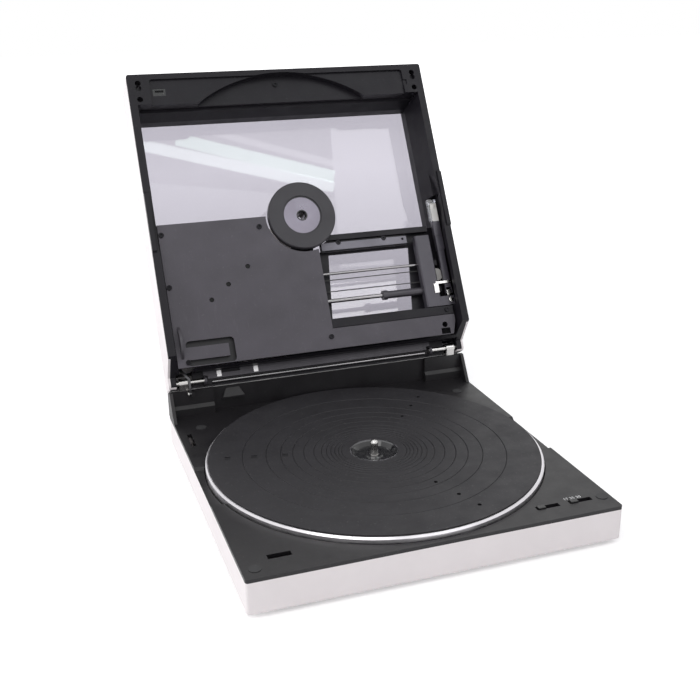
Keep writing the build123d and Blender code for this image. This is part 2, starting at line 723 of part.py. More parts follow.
def motor_board_top():
    """The motor board hangs below the floor of the well."""
    return WELL_FLOOR_Z - WELL_FLOOR


def make_motor_board():
    """Round circuit board below the platter well."""
    top = motor_board_top()
    return ring(MOTOR_BOARD_R, BEARING_R + FACE_GAP, top - BOARD, top)


def make_motor_coils():
    """Flat coils on the motor board, below the magnet ring."""
    top = HUB_BOTTOM - YOKE - MAGNET - MAGNET_GAP
    coils = []
    for index in range(COIL_COUNT):
        x, y = polar(COIL_RING_R, index * 360 / COIL_COUNT)
        coils.append(ring(COIL_R[1], COIL_R[0], motor_board_top(), top, x, y))
    return coils


def make_spindle_bearing():
    """Brass bearing that stands on the cabinet floor and carries the spindle."""
    top = HUB_BOTTOM - COLLAR_HEIGHT - FACE_GAP
    under_board = motor_board_top() - BOARD
    body = disc(BEARING_R, FLOOR_TOP, top)
    body = body + disc(BEARING_FLANGE_R, under_board - BOARD, under_board)
    return body - disc(SHAFT_R + RUNNING_FIT, SPINDLE_BOTTOM - 0.1, top + 1)


def make_main_board():
    """Main circuit board with its larger parts."""
    x0, x1, y0, y1 = MAIN_BOARD
    z = FLOOR_TOP + BOARD_POST
    top = z + BOARD
    solids = [block(x0, x1, y0, y1, z, top)]
    length, width, height = CHIP
    for x, y in CHIP_SPOTS:
        solids.append(block(x0 + x, x0 + x + length, y0 + y, y0 + y + width, top, top + height))
    for x, y in CAPACITOR_SPOTS:
        solids.append(disc(CAPACITOR_R, top, top + CAPACITOR_HEIGHT, x0 + x, y0 + y))
    return solids


def make_transformer():
    """Small mains transformer in the left rear corner."""
    x, y = TRANSFORMER_SPOT
    length, width, height = TRANSFORMER_CORE
    core = block(
        x - length / 2, x + length / 2, y - width / 2, y + width / 2,
        FLOOR_TOP, FLOOR_TOP + height)
    coil_x, coil_y, coil_z = TRANSFORMER_WINDING
    middle = FLOOR_TOP + height / 2
    window = block(
        x - coil_x / 2, x + coil_x / 2, y - width, y + width,
        middle - coil_z / 2, middle + coil_z / 2)
    winding = block(
        x - coil_x / 2, x + coil_x / 2, y - coil_y / 2, y + coil_y / 2,
        middle - coil_z / 2, middle + coil_z / 2)
    return [core - window, winding]


def make_rear_terminals():
    """Two phono sockets, the ground screw and the two pins of the inlet."""
    solids = []
    inner = BACK_Y - CABINET_WALL
    for x in SOCKET_X:
        outer = rear_cylinder(x, SOCKET_R, inner - 3, BACK_Y + SOCKET_LENGTH)
        outer = outer + rear_cylinder(x, SOCKET_R + 2.4, inner - 3, inner)
        outer = outer + rear_cylinder(x, SOCKET_R + 1.8, BACK_Y, BACK_Y + SOCKET_COLLAR)
        outer = outer - rear_cylinder(x, SOCKET_PIN_R, BACK_Y, BACK_Y + SOCKET_LENGTH + 1)
        solids.append(outer)
    stud = rear_cylinder(GROUND_X, 2.0, inner - 2, BACK_Y + 6)
    stud = stud + rear_cylinder(GROUND_X, 4.0, inner - 2, inner)
    solids.append(stud + rear_cylinder(GROUND_X, 4.2, BACK_Y + 2.5, BACK_Y + 7))
    back = BACK_Y - INLET_DEPTH
    for side in (-1, 1):
        x = INLET_X + side * INLET_PIN_PITCH / 2
        solids.append(rear_cylinder(x, INLET_PIN_R, back, back + INLET_PIN_LENGTH))
    return solids


def make_power_inlet():
    """Two-pin mains inlet in the rear wall."""
    half = INLET[0] / 2
    rise = INLET[1] / 2
    body = block(
        INLET_X - half, INLET_X + half, BACK_Y - INLET_DEPTH - 3, BACK_Y + 0.8,
        SOCKET_Z - rise, SOCKET_Z + rise)
    mouth = block(
        INLET_X - INLET_MOUTH[0] / 2, INLET_X + INLET_MOUTH[0] / 2,
        BACK_Y - INLET_DEPTH, BACK_Y + 2,
        SOCKET_Z - INLET_MOUTH[1] / 2, SOCKET_Z + INLET_MOUTH[1] / 2)
    return body - mouth


def make_slide_switches():
    """Switch bodies below the two slider slots."""
    bodies = []
    half = SLIDER_SLOT[0] / 2 + SWITCH_WALL
    width, height = SWITCH_BODY
    for x in (SPEED_SLOT_X, SIZE_SLOT_X):
        bodies.append(block(
            x - half, x + half, SLIDER_Y - width / 2, SLIDER_Y + width / 2,
            CABINET_TOP - height, CABINET_TOP))
        slot = block(
            x - half + SWITCH_WALL, x + half - SWITCH_WALL, SLIDER_Y - KNOB[1] / 2 - FACE_GAP,
            SLIDER_Y + KNOB[1] / 2 + FACE_GAP, CABINET_TOP - 2.2, CABINET_TOP + 1)
        bodies[-1] = bodies[-1] - slot
    return bodies


def make_knob(x):
    """Slider knob with its stem."""
    length, width = KNOB
    stem = block(
        x - length / 2, x + length / 2, SLIDER_Y - width / 2, SLIDER_Y + width / 2,
        CABINET_TOP - 1.8, DECK_Z + KNOB_HEIGHT)
    return fillet(stem.edges().group_by(Axis.Z)[-1], 0.5)


# Hinge hardware

def make_hinge_brackets():
    """Steel brackets on the rear blocks that hold the pins."""
    foot = DECK_Z + BLOCK_HEIGHT
    plate = prism([
        (BLOCK_FACE_Y + 0.2, foot), (HINGE_Y - BRACKET_R, HINGE_Z),
        (HINGE_Y + BRACKET_R, HINGE_Z), (HINGE_Y + 2.2, foot + 1),
        (HINGE_Y + 0.7, foot - 1.2), (REAR_SLOPE_Y, foot)], BRACKET_X[0], BRACKET_X[1])
    plate = plate + rod(BRACKET_R, BRACKET_X[0], BRACKET_X[1], HINGE_Y, HINGE_Z)
    plate = plate - rod(PIN_R, BRACKET_X[0] - 1, BRACKET_X[1] + 1, HINGE_Y, HINGE_Z)
    wedge = prism(rear_profile(BLOCK_FOOT_Y, BLOCK_FACE_Y), BRACKET_X[0] - 1, BRACKET_X[1] + 1)
    return mirrored(plate - wedge)


def make_hinge_pins():
    """Two steel hinge pins and the stay link's shoulder screw."""
    pins = mirrored(rod(PIN_R, PIN_X[0], PIN_X[1], HINGE_Y, HINGE_Z))
    right = STAY_X[1] + FACE_GAP
    screw = rod(STAY_PIN_R, STAY_X[0] - FACE_GAP, right + 3, STAY_Y, STAY_Z)
    radius, height = STAY_HEAD
    head = rod(radius, STAY_X[0] - FACE_GAP - height, STAY_X[0] - FACE_GAP, STAY_Y, STAY_Z)
    return pins + [screw + head]


def make_torsion_bar():
    """Thin steel rod along the hinge, cranked down to its seats in the rear blocks."""
    z = HINGE_Z - TORSION_DROP
    return rod(TORSION_R, TORSION_X[0], TORSION_X[1], HINGE_Y, z)


def make_hinge_bar():
    """Black hinge bar of the lid, its two ears turned on the pins."""
    z0 = HINGE_Z + BAR_DROP
    bar = block(-BAR_HALF, BAR_HALF, BAR_FRONT_Y, BAR_BACK_Y, z0, HINGE_ROOM_Z)
    dip = block(*BAR_DIP_X, BAR_FRONT_Y - 1, BAR_FRONT_Y + 3, z0 - 1, HINGE_ROOM_Z + 1)
    bar = bar - dip
    for side in (-1, 1):
        x0 = side * (PIN_X[0] + EAR / 2 + 0.4)
        ear = rod(HINGE_BOSS_R - 0.8, x0 - EAR / 2, x0 + EAR / 2, HINGE_Y, HINGE_Z)
        ear = ear - block(x0 - EAR, x0 + EAR, BAR_FRONT_Y, BACK_Y, HINGE_ROOM_Z, CLOSED_HEIGHT)
        web = block(
            x0 - EAR / 2, x0 + EAR / 2, BAR_FRONT_Y, HINGE_Y + 2, z0, HINGE_ROOM_Z)
        link = block(
            min(x0, side * BAR_HALF) - 0.5, max(x0, side * BAR_HALF) + 0.5,
            BAR_FRONT_Y, BAR_FRONT_Y + 4, z0, HINGE_ROOM_Z)
        bar = bar + ear + web + link
        bar = bar - rod(PIN_R + RUNNING_FIT, x0 - 3, x0 + 3, HINGE_Y, HINGE_Z)
    return bar


def make_hinge_clips():
    """Bright clips on the hinge bar."""
    z0 = HINGE_Z + BAR_DROP
    return [
        block(x, x + CLIP_WIDTH, BAR_FRONT_Y + 0.5, BAR_FRONT_Y + 6.5, z0 - 1.0, z0)
        for x in CLIP_SPOTS]


def stay_geometry():
    """Ends of the stay link in the open position, and the direction between them."""
    angle = radians(-LID_OPEN)
    dy = STAY_FAR_Y - HINGE_Y
    dz = STAY_FAR_Z - HINGE_Z
    far_y = HINGE_Y + dy * cos(angle) - dz * sin(angle)
    far_z = HINGE_Z + dy * sin(angle) + dz * cos(angle)
    return far_y, far_z


def make_stay_link():
    """Curved, slotted stay link with a sideways bend, drawn where it lies with the lid open."""
    far_y, far_z = stay_geometry()
    run_y = far_y - STAY_Y
    run_z = far_z - STAY_Z
    length = sqrt(run_y ** 2 + run_z ** 2)
    side_y = -run_z / length
    side_z = run_y / length
    half = STAY_WIDTH / 2
    left = STAY_X[0] - STAY_JOGGLE

    def point(share, offset):
        bow = STAY_BOW * (1 - (2 * share - 1) ** 2)
        y = STAY_Y + share * run_y + (bow + offset) * side_y
        z = STAY_Z + share * run_z + (bow + offset) * side_z
        return left, y, z

    def strip(share0, share1, width):
        middle = (share0 + share1) / 2
        outer = ThreePointArc(point(share0, width), point(middle, width), point(share1, width))
        inner = ThreePointArc(point(share1, -width), point(middle, -width), point(share0, -width))
        ends = [
            Line(point(share0, -width), point(share0, width)),
            Line(point(share1, width), point(share1, -width))]
        face = make_face([outer, inner] + ends)
        return extrude(face, amount=STAY_X[1] - left, dir=(1, 0, 0))

    link = strip(0, 1, half)
    for y, z in ((STAY_Y, STAY_Z), (far_y, far_z)):
        link = link + rod(half + 0.4, left, STAY_X[1], y, z)
    slot_share = STAY_SLOT / length
    link = link - strip(1 - slot_share, 0.97, 0.8)
    low, high = (STAY_Z + share * run_z for share in STAY_BEND)
    thick = STAY_X[1] - STAY_X[0]
    band = Polyline(
        (STAY_X[1], 0, STAY_Z - 10), (STAY_X[1], 0, low), (left + thick, 0, high),
        (left + thick, 0, far_z + 10), (left, 0, far_z + 10), (left, 0, high - thick / 2),
        (STAY_X[0], 0, low - thick / 2), (STAY_X[0], 0, STAY_Z - 10), close=True)
    band = extrude(make_face(band), amount=2 * BACK_Y, dir=(0, 1, 0))
    return (link & band) - rod(
        STAY_PIN_R + RUNNING_FIT, STAY_X[0] - 1, STAY_X[1] + 1, STAY_Y, STAY_Z)


# Lid

def side_outline():
    """(y, z) region below the lid's slanted rear edge, cut away from its sides."""
    return [
        (SLANT_FOOT_Y, DECK_Z - 5), (SLANT_FOOT_Y, LID_RIM_Z),
        (SLANT_TOP_Y, HINGE_Z - HINGE_BOSS_R), (BACK_Y + 5, HINGE_Z - HINGE_BOSS_R),
        (BACK_Y + 5, DECK_Z - 5)]


def trim_rear(shape):
    """Cut the lid's rear edge: slanted sides and a round end about the pins."""
    shape = shape - prism(side_outline(), -HALF_W - 1, HALF_W + 1)
    square = prism([
        (HINGE_Y, HINGE_Z - HINGE_BOSS_R - 1), (BACK_Y + 5, HINGE_Z - HINGE_BOSS_R - 1),
        (BACK_Y + 5, HINGE_Z), (HINGE_Y, HINGE_Z)], -HALF_W - 1, HALF_W + 1)
    square = square - rod(HINGE_BOSS_R, -HALF_W - 2, HALF_W + 2, HINGE_Y, HINGE_Z)
    return shape - square


def window_outline(grow):
    """L-shaped outline of the lid's window, grown by an amount."""
    left = -WINDOW_HALF - WINDOW_LEDGE - grow
    right = WINDOW_HALF + WINDOW_LEDGE + grow
    front = WINDOW_FRONT_Y - WINDOW_LEDGE - grow
    inner_x = COVER_RIGHT_X - grow
    inner_y = COVER_FRONT_Y + grow
    back = STRIP_BAR_Y[0] - 1 + grow
    return [
        (left, front), (right, front), (right, back), (inner_x, back),
        (inner_x, inner_y), (left, inner_y)]


def make_lid_shell():
    """Silver outer shell of the lid, with the window opening and control slots."""
    shell = block(-HALF_W, HALF_W, FRONT_Y, LID_BACK_Y, SHELL_Z, CLOSED_HEIGHT)
    shell = fillet(shell.edges().filter_by(Axis.Z), CORNER_R)
    shell = fillet(shell.edges().group_by(Axis.Z)[-1], CORNER_R * 0.9)
    inside = block(
        -FRAME_HALF, FRAME_HALF, FRAME_FRONT_Y, LID_BACK_Y - SHELL_WALL,
        SHELL_Z - 1, SHELL_CEILING)
    shell = shell - inside
    shell = shell - slab(window_outline(PANE_LEDGE), SHELL_CEILING - 1, CLOSED_HEIGHT + 1)
    shell = trim_rear(shell)
    lip = block(
        -CAVITY_HALF, CAVITY_HALF, FRAME_BACK_Y, BACK_Y + 5, SHELL_Z - 5, LID_REAR_LIP_Z)
    shell = shell - lip
    for x in BUTTON_X.values():
        shell = shell - control_cut(x, BUTTON)
    shell = shell - control_cut(ROCKER_X, ROCKER)
    for side in (-1, 1):
        shell = shell - pin_bore(side) - bracket_room(side)
    return shell


def bracket_room(side):
    """Room in the lid for a base bracket, from shut to open."""
    x0, x1 = BRACKET_X
    room = rod(BRACKET_SWEEP_R, x0 - 1, x1 + 1, HINGE_Y, HINGE_Z)
    return room if side > 0 else mirror(room, about=Plane.YZ)


def pin_bore(side):
    """Running bore in the lid's side for a hinge pin."""
    x0 = CAVITY_HALF - 1
    bore = rod(PIN_R + RUNNING_FIT, x0, PIN_X[1] + 0.3, HINGE_Y, HINGE_Z)
    return bore if side > 0 else mirror(bore, about=Plane.YZ)


def control_cut(x, size):
    """Opening for a button in the lid's front."""
    half = size[0] / 2 + BUTTON_GAP
    rise = size[1] / 2 + BUTTON_GAP
    return block(
        x - half, x + half, FRONT_Y - 1, FRAME_FRONT_Y + 3, BUTTON_Z - rise, BUTTON_Z + rise)


def cavity():
    """Tapered inside of the lid from the rim to the window's lip, with a step."""
    rear = FRAME_BACK_Y
    lower = slab([
        (-CAVITY_HALF, CAVITY_FRONT_Y), (CAVITY_HALF, CAVITY_FRONT_Y),
        (CAVITY_HALF, rear), (-CAVITY_HALF, rear)], LID_RIM_Z - 5, LID_RIM_Z)
    bottom = Polyline(
        (-CAVITY_HALF, CAVITY_FRONT_Y, LID_RIM_Z), (CAVITY_HALF, CAVITY_FRONT_Y, LID_RIM_Z),
        (CAVITY_HALF, rear, LID_RIM_Z), (-CAVITY_HALF, rear, LID_RIM_Z), close=True)
    top = Polyline(
        (-WINDOW_HALF, WINDOW_FRONT_Y, WINDOW_LIP_Z), (WINDOW_HALF, WINDOW_FRONT_Y, WINDOW_LIP_Z),
        (WINDOW_HALF, rear, WINDOW_LIP_Z), (-WINDOW_HALF, rear, WINDOW_LIP_Z), close=True)
    funnel = loft([make_face(bottom), make_face(top)], ruled=True)
    step = block(
        -WINDOW_HALF - WINDOW_LEDGE, WINDOW_HALF + WINDOW_LEDGE,
        CAVITY_FRONT_Y, CAVITY_FRONT_Y + 10, LID_RIM_Z - 1, WALL_STEP_Z)
    above = block(
        -WINDOW_HALF - WINDOW_LEDGE, WINDOW_HALF + WINDOW_LEDGE,
        WINDOW_FRONT_Y - WINDOW_LEDGE, rear, WINDOW_LIP_Z - 0.01, CLOSED_HEIGHT)
    return fused([lower, funnel, step, above])


def box_front_wall():
    """Wall that closes the mechanism from the window, curved round the clamp."""
    back = COVER_FRONT_Y + BOX_WALL
    left = block(
        -WINDOW_HALF - 3, -CLAMP_WELL_R, COVER_FRONT_Y, back, COVER_TOP, SHELL_CEILING)
    round_wall = ring(
        CLAMP_WELL_R + BOX_WALL, CLAMP_WELL_R, COVER_TOP, SHELL_CEILING)
    reach = CLAMP_WELL_R * 1.5
    keep = block(-reach, COVER_RIGHT_X, COVER_FRONT_Y, reach, COVER_TOP, SHELL_CEILING)
    round_wall = round_wall & keep
    side_y = sqrt(CLAMP_WELL_R ** 2 - COVER_RIGHT_X ** 2)
    side = block(
        COVER_RIGHT_X - BOX_WALL, COVER_RIGHT_X, side_y, FRAME_BACK_Y + 0.5,
        TRAY_Z + TRAY, SHELL_CEILING)
    return fused([left, round_wall, side])


def make_lid_frame():
    """Black inner frame: rim flange, front strip, tapered walls and hinge side."""
    flange = block(-HALF_W, HALF_W, FRONT_Y, LID_BACK_Y, LID_RIM_Z, SHELL_Z)
    flange = fillet(flange.edges().filter_by(Axis.Z), CORNER_R)
    body = block(
        -FRAME_HALF, FRAME_HALF, FRAME_FRONT_Y, LID_BACK_Y - SHELL_WALL, SHELL_Z, SHELL_CEILING)
    frame = flange + body - cavity()
    room = block(
        -CAVITY_HALF, CAVITY_HALF, FRAME_BACK_Y + FRAME_BACK_WALL, BACK_Y + 5,
        LID_RIM_Z - 5, HINGE_ROOM_Z)
    rim = block(
        -CAVITY_HALF, CAVITY_HALF, LID_BACK_Y - SHELL_WALL - STRIP_FLOOR / 2, LID_BACK_Y,
        LID_REAR_LIP_Z - REAR_RIM, LID_REAR_LIP_Z)
    frame = trim_rear(frame - room) + rim
    chamber = block(
        -CAVITY_HALF, CAVITY_HALF, FRAME_FRONT_Y + SHELL_WALL, CAVITY_FRONT_Y - STRIP_FLOOR,
        RECORD_CLEAR_Z + STRIP_FLOOR, SHELL_CEILING + 1)
    rear_room = block(
        -CAVITY_HALF, CAVITY_HALF, FRAME_BACK_Y + FRAME_BACK_WALL,
        LID_BACK_Y - SHELL_WALL - STRIP_FLOOR, HINGE_ROOM_Z + STRIP_FLOOR, SHELL_CEILING + 1)
    recess = block(
        -STRIP_HALF, STRIP_HALF, STRIP_FRONT_Y, CAVITY_FRONT_Y + 1,
        LID_RIM_Z - 1, LID_RIM_Z + STRIP_RECESS)
    recess = fillet(recess.edges().filter_by(Axis.Z).group_by(Axis.Y)[0], STRIP_CORNER_R)
    clear = disc(RECORD_CLEAR_R, LID_RIM_Z - 1, RECORD_CLEAR_Z)
    frame = frame - chamber - rear_room - recess - clear - arm_pocket() - knob_notch()
    for side in (-1, 1):
        frame = frame - pin_bore(side) - bracket_room(side)
        for x, y in CORNER_HOLES:
            frame = frame - disc(
                CORNER_HOLE_R, LID_RIM_Z - 1, LID_RIM_Z + CORNER_HOLE_DEPTH, side * x, y)
        x, y = CORNER_HOLES[0]
        frame = frame - disc(
            CORNER_HOLE_R, LID_RIM_Z - 1, LID_RIM_Z + CORNER_HOLE_DEPTH / 2,
            side * x, y + CORNER_HOLE_OVERLAP)
        frame = frame + make_grip(side)
    for x in BUTTON_X.values():
        frame = frame - control_cut(x, BUTTON)
    frame = frame - control_cut(ROCKER_X, ROCKER)
    frame = frame - rocker_pin(ROCKER_PIN_R + RUNNING_FIT, ROCKER[1] / 2 + ROCKER_PIN + FIT)
    for side in (-1, 1):
        x = side * (CONTROL_HALF - 1.5)
        frame = frame + block(
            x - 1.2, x + 1.2, FRAME_FRONT_Y + 1, board_front_y(),
            BUTTON_Z - 8, BUTTON_Z + 8)
    x0, x1, y0, y1 = LID_SWITCH
    frame = frame - block(x0, x1, y0, y1, LID_RIM_Z - 1, RECORD_CLEAR_Z + STRIP_FLOOR + 1)
    frame = frame - stay_notch()
    return frame + box_front_wall()


def stay_notch():
    """Slot in the frame's rear wall for the stay link."""
    left = STAY_X[0] - STAY_JOGGLE - 2 * FACE_GAP
    through = block(
        left, STAY_X[1] + 3.6 + FACE_GAP, FRAME_BACK_Y - 1,
        FRAME_BACK_Y + FRAME_BACK_WALL + 12, COVER_TOP + 1, HINGE_ROOM_Z + STRIP_FLOOR + 8)
    beside = block(
        left, STAY_X[0], STAY_FAR_Y - STAY_SLOT - 4, FRAME_BACK_Y, COVER_TOP + 4, SHELL_CEILING - 2)
    return through + beside


def knob_notch():
    """Room in the frame for the size knob, along its whole travel."""
    reach = KNOB_TRAVEL + KNOB[0] / 2 + 2 * FACE_GAP
    half = KNOB[1] / 2 + 2 * FACE_GAP
    return block(
        SIZE_SLOT_X - reach, SIZE_SLOT_X + reach, SLIDER_Y - half, SLIDER_Y + half,
        LID_RIM_Z - 1, DECK_Z + KNOB_HEIGHT + 2 * FACE_GAP)


def arm_pocket():
    """Room in the right wall for the parked arm."""
    return block(
        WINDOW_HALF - 3, ARM_X + ARM_HALF + FACE_GAP * 12, GUARD_FRONT_Y - 4, BLOCK_Y[1] + 1,
        DECK_Z + 6, DECK_Z + 24.5)


def make_grip(side):
    """Lip below the rim that hangs into the deck's finger scoop."""
    outline = [
        (GRIP_FRONT_Y - 1, LID_RIM_Z + 0.5), (GRIP_FRONT_Y + 1, LID_RIM_Z - GRIP_DROP),
        (GRIP_BACK_Y - 1, LID_RIM_Z - GRIP_DROP), (GRIP_BACK_Y + 1, LID_RIM_Z + 0.5)]
    grip = prism(outline, RECORD_CLEAR_R + 0.4, HALF_W)
    return grip if side > 0 else mirror(grip, about=Plane.YZ)


def make_window():
    """Clear window, flush with the top of the lid."""
    return slab(window_outline(PANE_LEDGE - FIT), SHELL_CEILING, CLOSED_HEIGHT)


def cover_outline():
    """(x, y) outline of the inner cover: main plate and the foot below the rails."""
    edge = COVER_EDGE_X
    rear = FRAME_BACK_Y - COVER_CLEAR
    return [
        (-edge, COVER_FRONT_Y), (COVER_RIGHT_X, COVER_FRONT_Y), (COVER_RIGHT_X, COVER_FOOT_Y),
        (edge - 1.5, COVER_FOOT_Y), (edge - 1.5, rear - 14), (edge - 6, rear), (-edge, rear)]


def make_inner_cover():
    """Plate over the lid's mechanism, cut round the clamp, with a pocket and holes."""
    cover = slab(cover_outline(), COVER_Z, COVER_TOP)
    cover = cover - disc(CLAMP_WELL_R, COVER_Z - 1, COVER_TOP + 1)
    corner = block(0, COVER_RIGHT_X + 1, COVER_FRONT_Y - 1, 36.5, COVER_Z - 1, COVER_TOP + 1)
    cover = cover - corner
    x0, x1 = POCKET_X
    y0, y1 = POCKET_Y
    outer = block(x0, x1, y0, y1, COVER_Z - 1, COVER_Z + POCKET_DEPTH)
    outer = fillet(outer.edges().filter_by(Axis.Z), POCKET_CORNER_R)
    pad = block(
        x0 - 1, x1 - POCKET_RIM, y0 + POCKET_RIM, y1 - POCKET_RIM,
        COVER_Z - 2, COVER_Z + POCKET_DEPTH + 1)
    trough = block(
        x0 - POCKET_WALL, x1 + POCKET_WALL, y0 - POCKET_WALL, y1 + POCKET_WALL - COVER_CLEAR,
        COVER_TOP - 1, COVER_Z + POCKET_DEPTH + POCKET_WALL)
    cover = cover + trough - (outer - pad)
    for x, y in sensor_spots():
        cover = cover - disc(SENSOR_HOLE_R, COVER_Z - 1, COVER_TOP + 1, x, y)
    cover = cover - disc(EYE_R, COVER_Z - 1, COVER_TOP + 1, *EYE_SPOT)
    ex0, ex1, ey0, ey1 = EYE_WINDOW
    return cover - block(ex0, ex1, ey0, ey1, COVER_Z - 1, COVER_TOP + 1)


def screw_head(x, y, z):
    """Screw head below a face, with a socket."""
    head = disc(LID_SCREW_R, z - LID_SCREW_HEAD, z, x, y)
    return head - disc(LID_SCREW_R * 0.45, z - LID_SCREW_HEAD - 1, z - 0.5, x, y)


def make_lid_screws():
    """Screws of the inner cover, the rails' strip and the lid's front corners."""
    heads = [screw_head(x, y, COVER_Z) for x, y in COVER_SCREWS]
    heads.append(screw_head(*STRIP_SCREW, COVER_Z))
    heads += [screw_head(x, y, GUARD_TOP) for x, y in GUARD_SCREWS]
    top = LID_RIM_Z + CORNER_HOLE_DEPTH
    for side in (-1, 1):
        heads += [screw_head(side * x, y, top) for x, y in CORNER_HOLES]
    heads.append(screw_head(*CENTRE_SCREW, RECORD_CLEAR_Z))
    return heads


def sensor_spots():
    """The lamps shine on the mat's three circles of sensing holes."""
    return [polar(radius, SENSOR_ANGLE) for radius in SENSE_RADII]


def make_sensor_lamps():
    """Three size-sensing lamps above the inner cover."""
    lamps = []
    for x, y in sensor_spots():
        lens = disc(LAMP_R, COVER_Z + 0.6, COVER_TOP, x, y)
        lamps.append(lens + disc(LAMP_R + 1.4, COVER_TOP, COVER_TOP + 3, x, y))
    return lamps


def make_clamp_holder():
    """Bridge above the clamp that guides its stem, rooted in the mechanism box."""
    top = HOLDER_Z + HOLDER
    holder = disc(HOLDER_R, HOLDER_Z, top)
    arm = block(-HOLDER_ARM, HOLDER_ARM * 0.7, 0, CLAMP_WELL_R + 1, HOLDER_Z, top)
    holder = holder + (arm & disc(CLAMP_WELL_R, HOLDER_Z, top))
    return holder - disc(STEM_R + RUNNING_FIT * 2, HOLDER_Z - 1, top + 1)


def make_carriage_frame():
    """Tray behind the rails, with the slanted window, its bars and rail ends."""
    tray = block(
        TRAY_LEFT_X, TRAY_RIGHT_X, TOP_BAR_Y[0], FRAME_BACK_Y, TRAY_Z, TRAY_Z + TRAY)
    tray = tray - disc(CLAMP_WELL_R + BOX_WALL + FACE_GAP, TRAY_Z - 1, TRAY_Z + TRAY + 1)
    opening = slab([
        (OPENING_LEFT[0], OPENING_Y[0]), (OPENING_RIGHT[0], OPENING_Y[0]),
        (OPENING_RIGHT[1], OPENING_Y[1]), (OPENING_LEFT[1], OPENING_Y[1])],
        TRAY_Z - 1, TRAY_Z + TRAY + 1)
    tray = tray - opening
    bar = block(
        TOP_BAR_X[0], TOP_BAR_X[1], TOP_BAR_Y[0], TOP_BAR_Y[1], TOP_BAR_Z, TRAY_Z + 0.5)
    bar = bar - disc(CLAMP_WELL_R - 2.5, TOP_BAR_Z - 1, TRAY_Z + 1)
    strip = block(
        STRIP_BAR_X[0], STRIP_BAR_X[1], STRIP_BAR_Y[0], STRIP_BAR_Y[1], COVER_Z, TRAY_Z + 0.5)
    ledge = block(
        GUARD_BAR_X[0], GUARD_BAR_X[1], GUARD_BAR_Y[0] - 2, GUARD_BAR_Y[1] + 1.5,
        GUARD_TOP, TRAY_Z + 0.5)
    tray = tray + bar + strip + ledge
    tray = tray - disc(CLAMP_WELL_R - 2.5, GUARD_TOP - 5, TRAY_Z)
    for x0 in (ROD_X[0], ROD_X[1] - END_BLOCK):
        for y, radius in ((ROD_Y, ROD_R), (RAIL_Y, RAIL_R)):
            post = block(
                x0, x0 + END_BLOCK, y - END_BLOCK_HALF, y + END_BLOCK_HALF,
                ROD_Z - ROD_R - END_BLOCK_LIP, TRAY_Z + 0.5)
            tray = tray + post - rod(radius, x0 - 1, x0 + END_BLOCK + 1, y, ROD_Z)
    for x in PULLEY_X:
        tray = tray - disc(PULLEY_SHAFT_R + FIT, TRAY_Z - 1, TRAY_Z + TRAY + 1, x, cord_middle())
    return tray


def cord_middle():
    """Line of the pulley shafts, midway between the cord's two runs."""
    return (CORD_Y[0] + CORD_Y[1]) / 2


def pulley_radius():
    """The cord lies on the pulley's rim."""
    return (CORD_Y[1] - CORD_Y[0]) / 2 - CORD_R


def make_guard_bar():
    """Steel bar at the front of the rails, notched at its two screws."""
    z1 = GUARD_TOP
    bar = block(
        GUARD_BAR_X[0], GUARD_BAR_X[1], GUARD_BAR_Y[0], GUARD_BAR_Y[1], z1 - GUARD_BAR, z1)
    for x, y in GUARD_SCREWS:
        bar = bar - disc(LID_SCREW_R + FACE_GAP, z1 - 5, z1 + 1, x, y)
    return bar - disc(1.4, z1 - 5, z1 + 1, GUARD_HOLE_X, GUARD_BAR_Y[0] + 3)


def make_guide_rod():
    """Main guide rod of the carriage."""
    return rod(ROD_R, ROD_X[0], ROD_X[1], ROD_Y, ROD_Z)


def make_guide_rail():
    """Second, thinner guide rail."""
    return rod(RAIL_R, ROD_X[0], ROD_X[1], RAIL_Y, ROD_Z)


def make_drive_cord():
    """Cord loop round the two pulleys."""
    radius = pulley_radius() + CORD_R
    middle = cord_middle()
    path = SlotOverall(PULLEY_X[1] - PULLEY_X[0] + 2 * radius, 2 * radius)
    outer = extrude(
        SlotOverall(PULLEY_X[1] - PULLEY_X[0] + 2 * (radius + CORD_R), 2 * (radius + CORD_R))
        - SlotOverall(PULLEY_X[1] - PULLEY_X[0] + 2 * (radius - CORD_R), 2 * (radius - CORD_R)),
        amount=2 * CORD_R)
    return Pos((PULLEY_X[0] + PULLEY_X[1]) / 2, middle, CORD_Z - CORD_R) * outer


def make_pulley(x):
    """Flanged pulley on a short shaft."""
    radius = pulley_radius() - FACE_GAP / 3
    middle = cord_middle()
    wheel = disc(radius, CORD_Z - PULLEY_HALF, CORD_Z + PULLEY_HALF, x, middle)
    wheel = wheel + disc(
        radius + 1.2, CORD_Z - PULLEY_HALF - 0.4, CORD_Z - CORD_R - FACE_GAP / 3, x, middle)
    return wheel + disc(PULLEY_SHAFT_R, CORD_Z - PULLEY_HALF, TRAY_Z + TRAY + 3, x, middle)


def make_arm_motor():
    """Carriage motor above the tray, round the driving pulley's shaft."""
    middle = cord_middle()
    z0 = TRAY_Z + TRAY
    motor = disc(MOTOR_R, z0, SHELL_CEILING - MOTOR_TOP_GAP, PULLEY_X[0], middle)
    motor = chamfer(motor.edges().group_by(Axis.Z)[-1], 1)
    return motor - disc(PULLEY_SHAFT_R + FIT, z0 - 1, z0 + 3.4, PULLEY_X[0], middle)


def make_lid_switch():
    """Lid-shut switch set into the front strip."""
    x0, x1, y0, y1 = LID_SWITCH
    z0 = LID_RIM_Z + STRIP_RECESS + 0.3
    body = block(x0, x1, y0, y1, z0, RECORD_CLEAR_Z + STRIP_FLOOR)
    mouth = block(x0 + 2, x1 - 2, y0 + 1.6, y1 - 1.6, z0 - 1, z0 + 2.5)
    return body - mouth


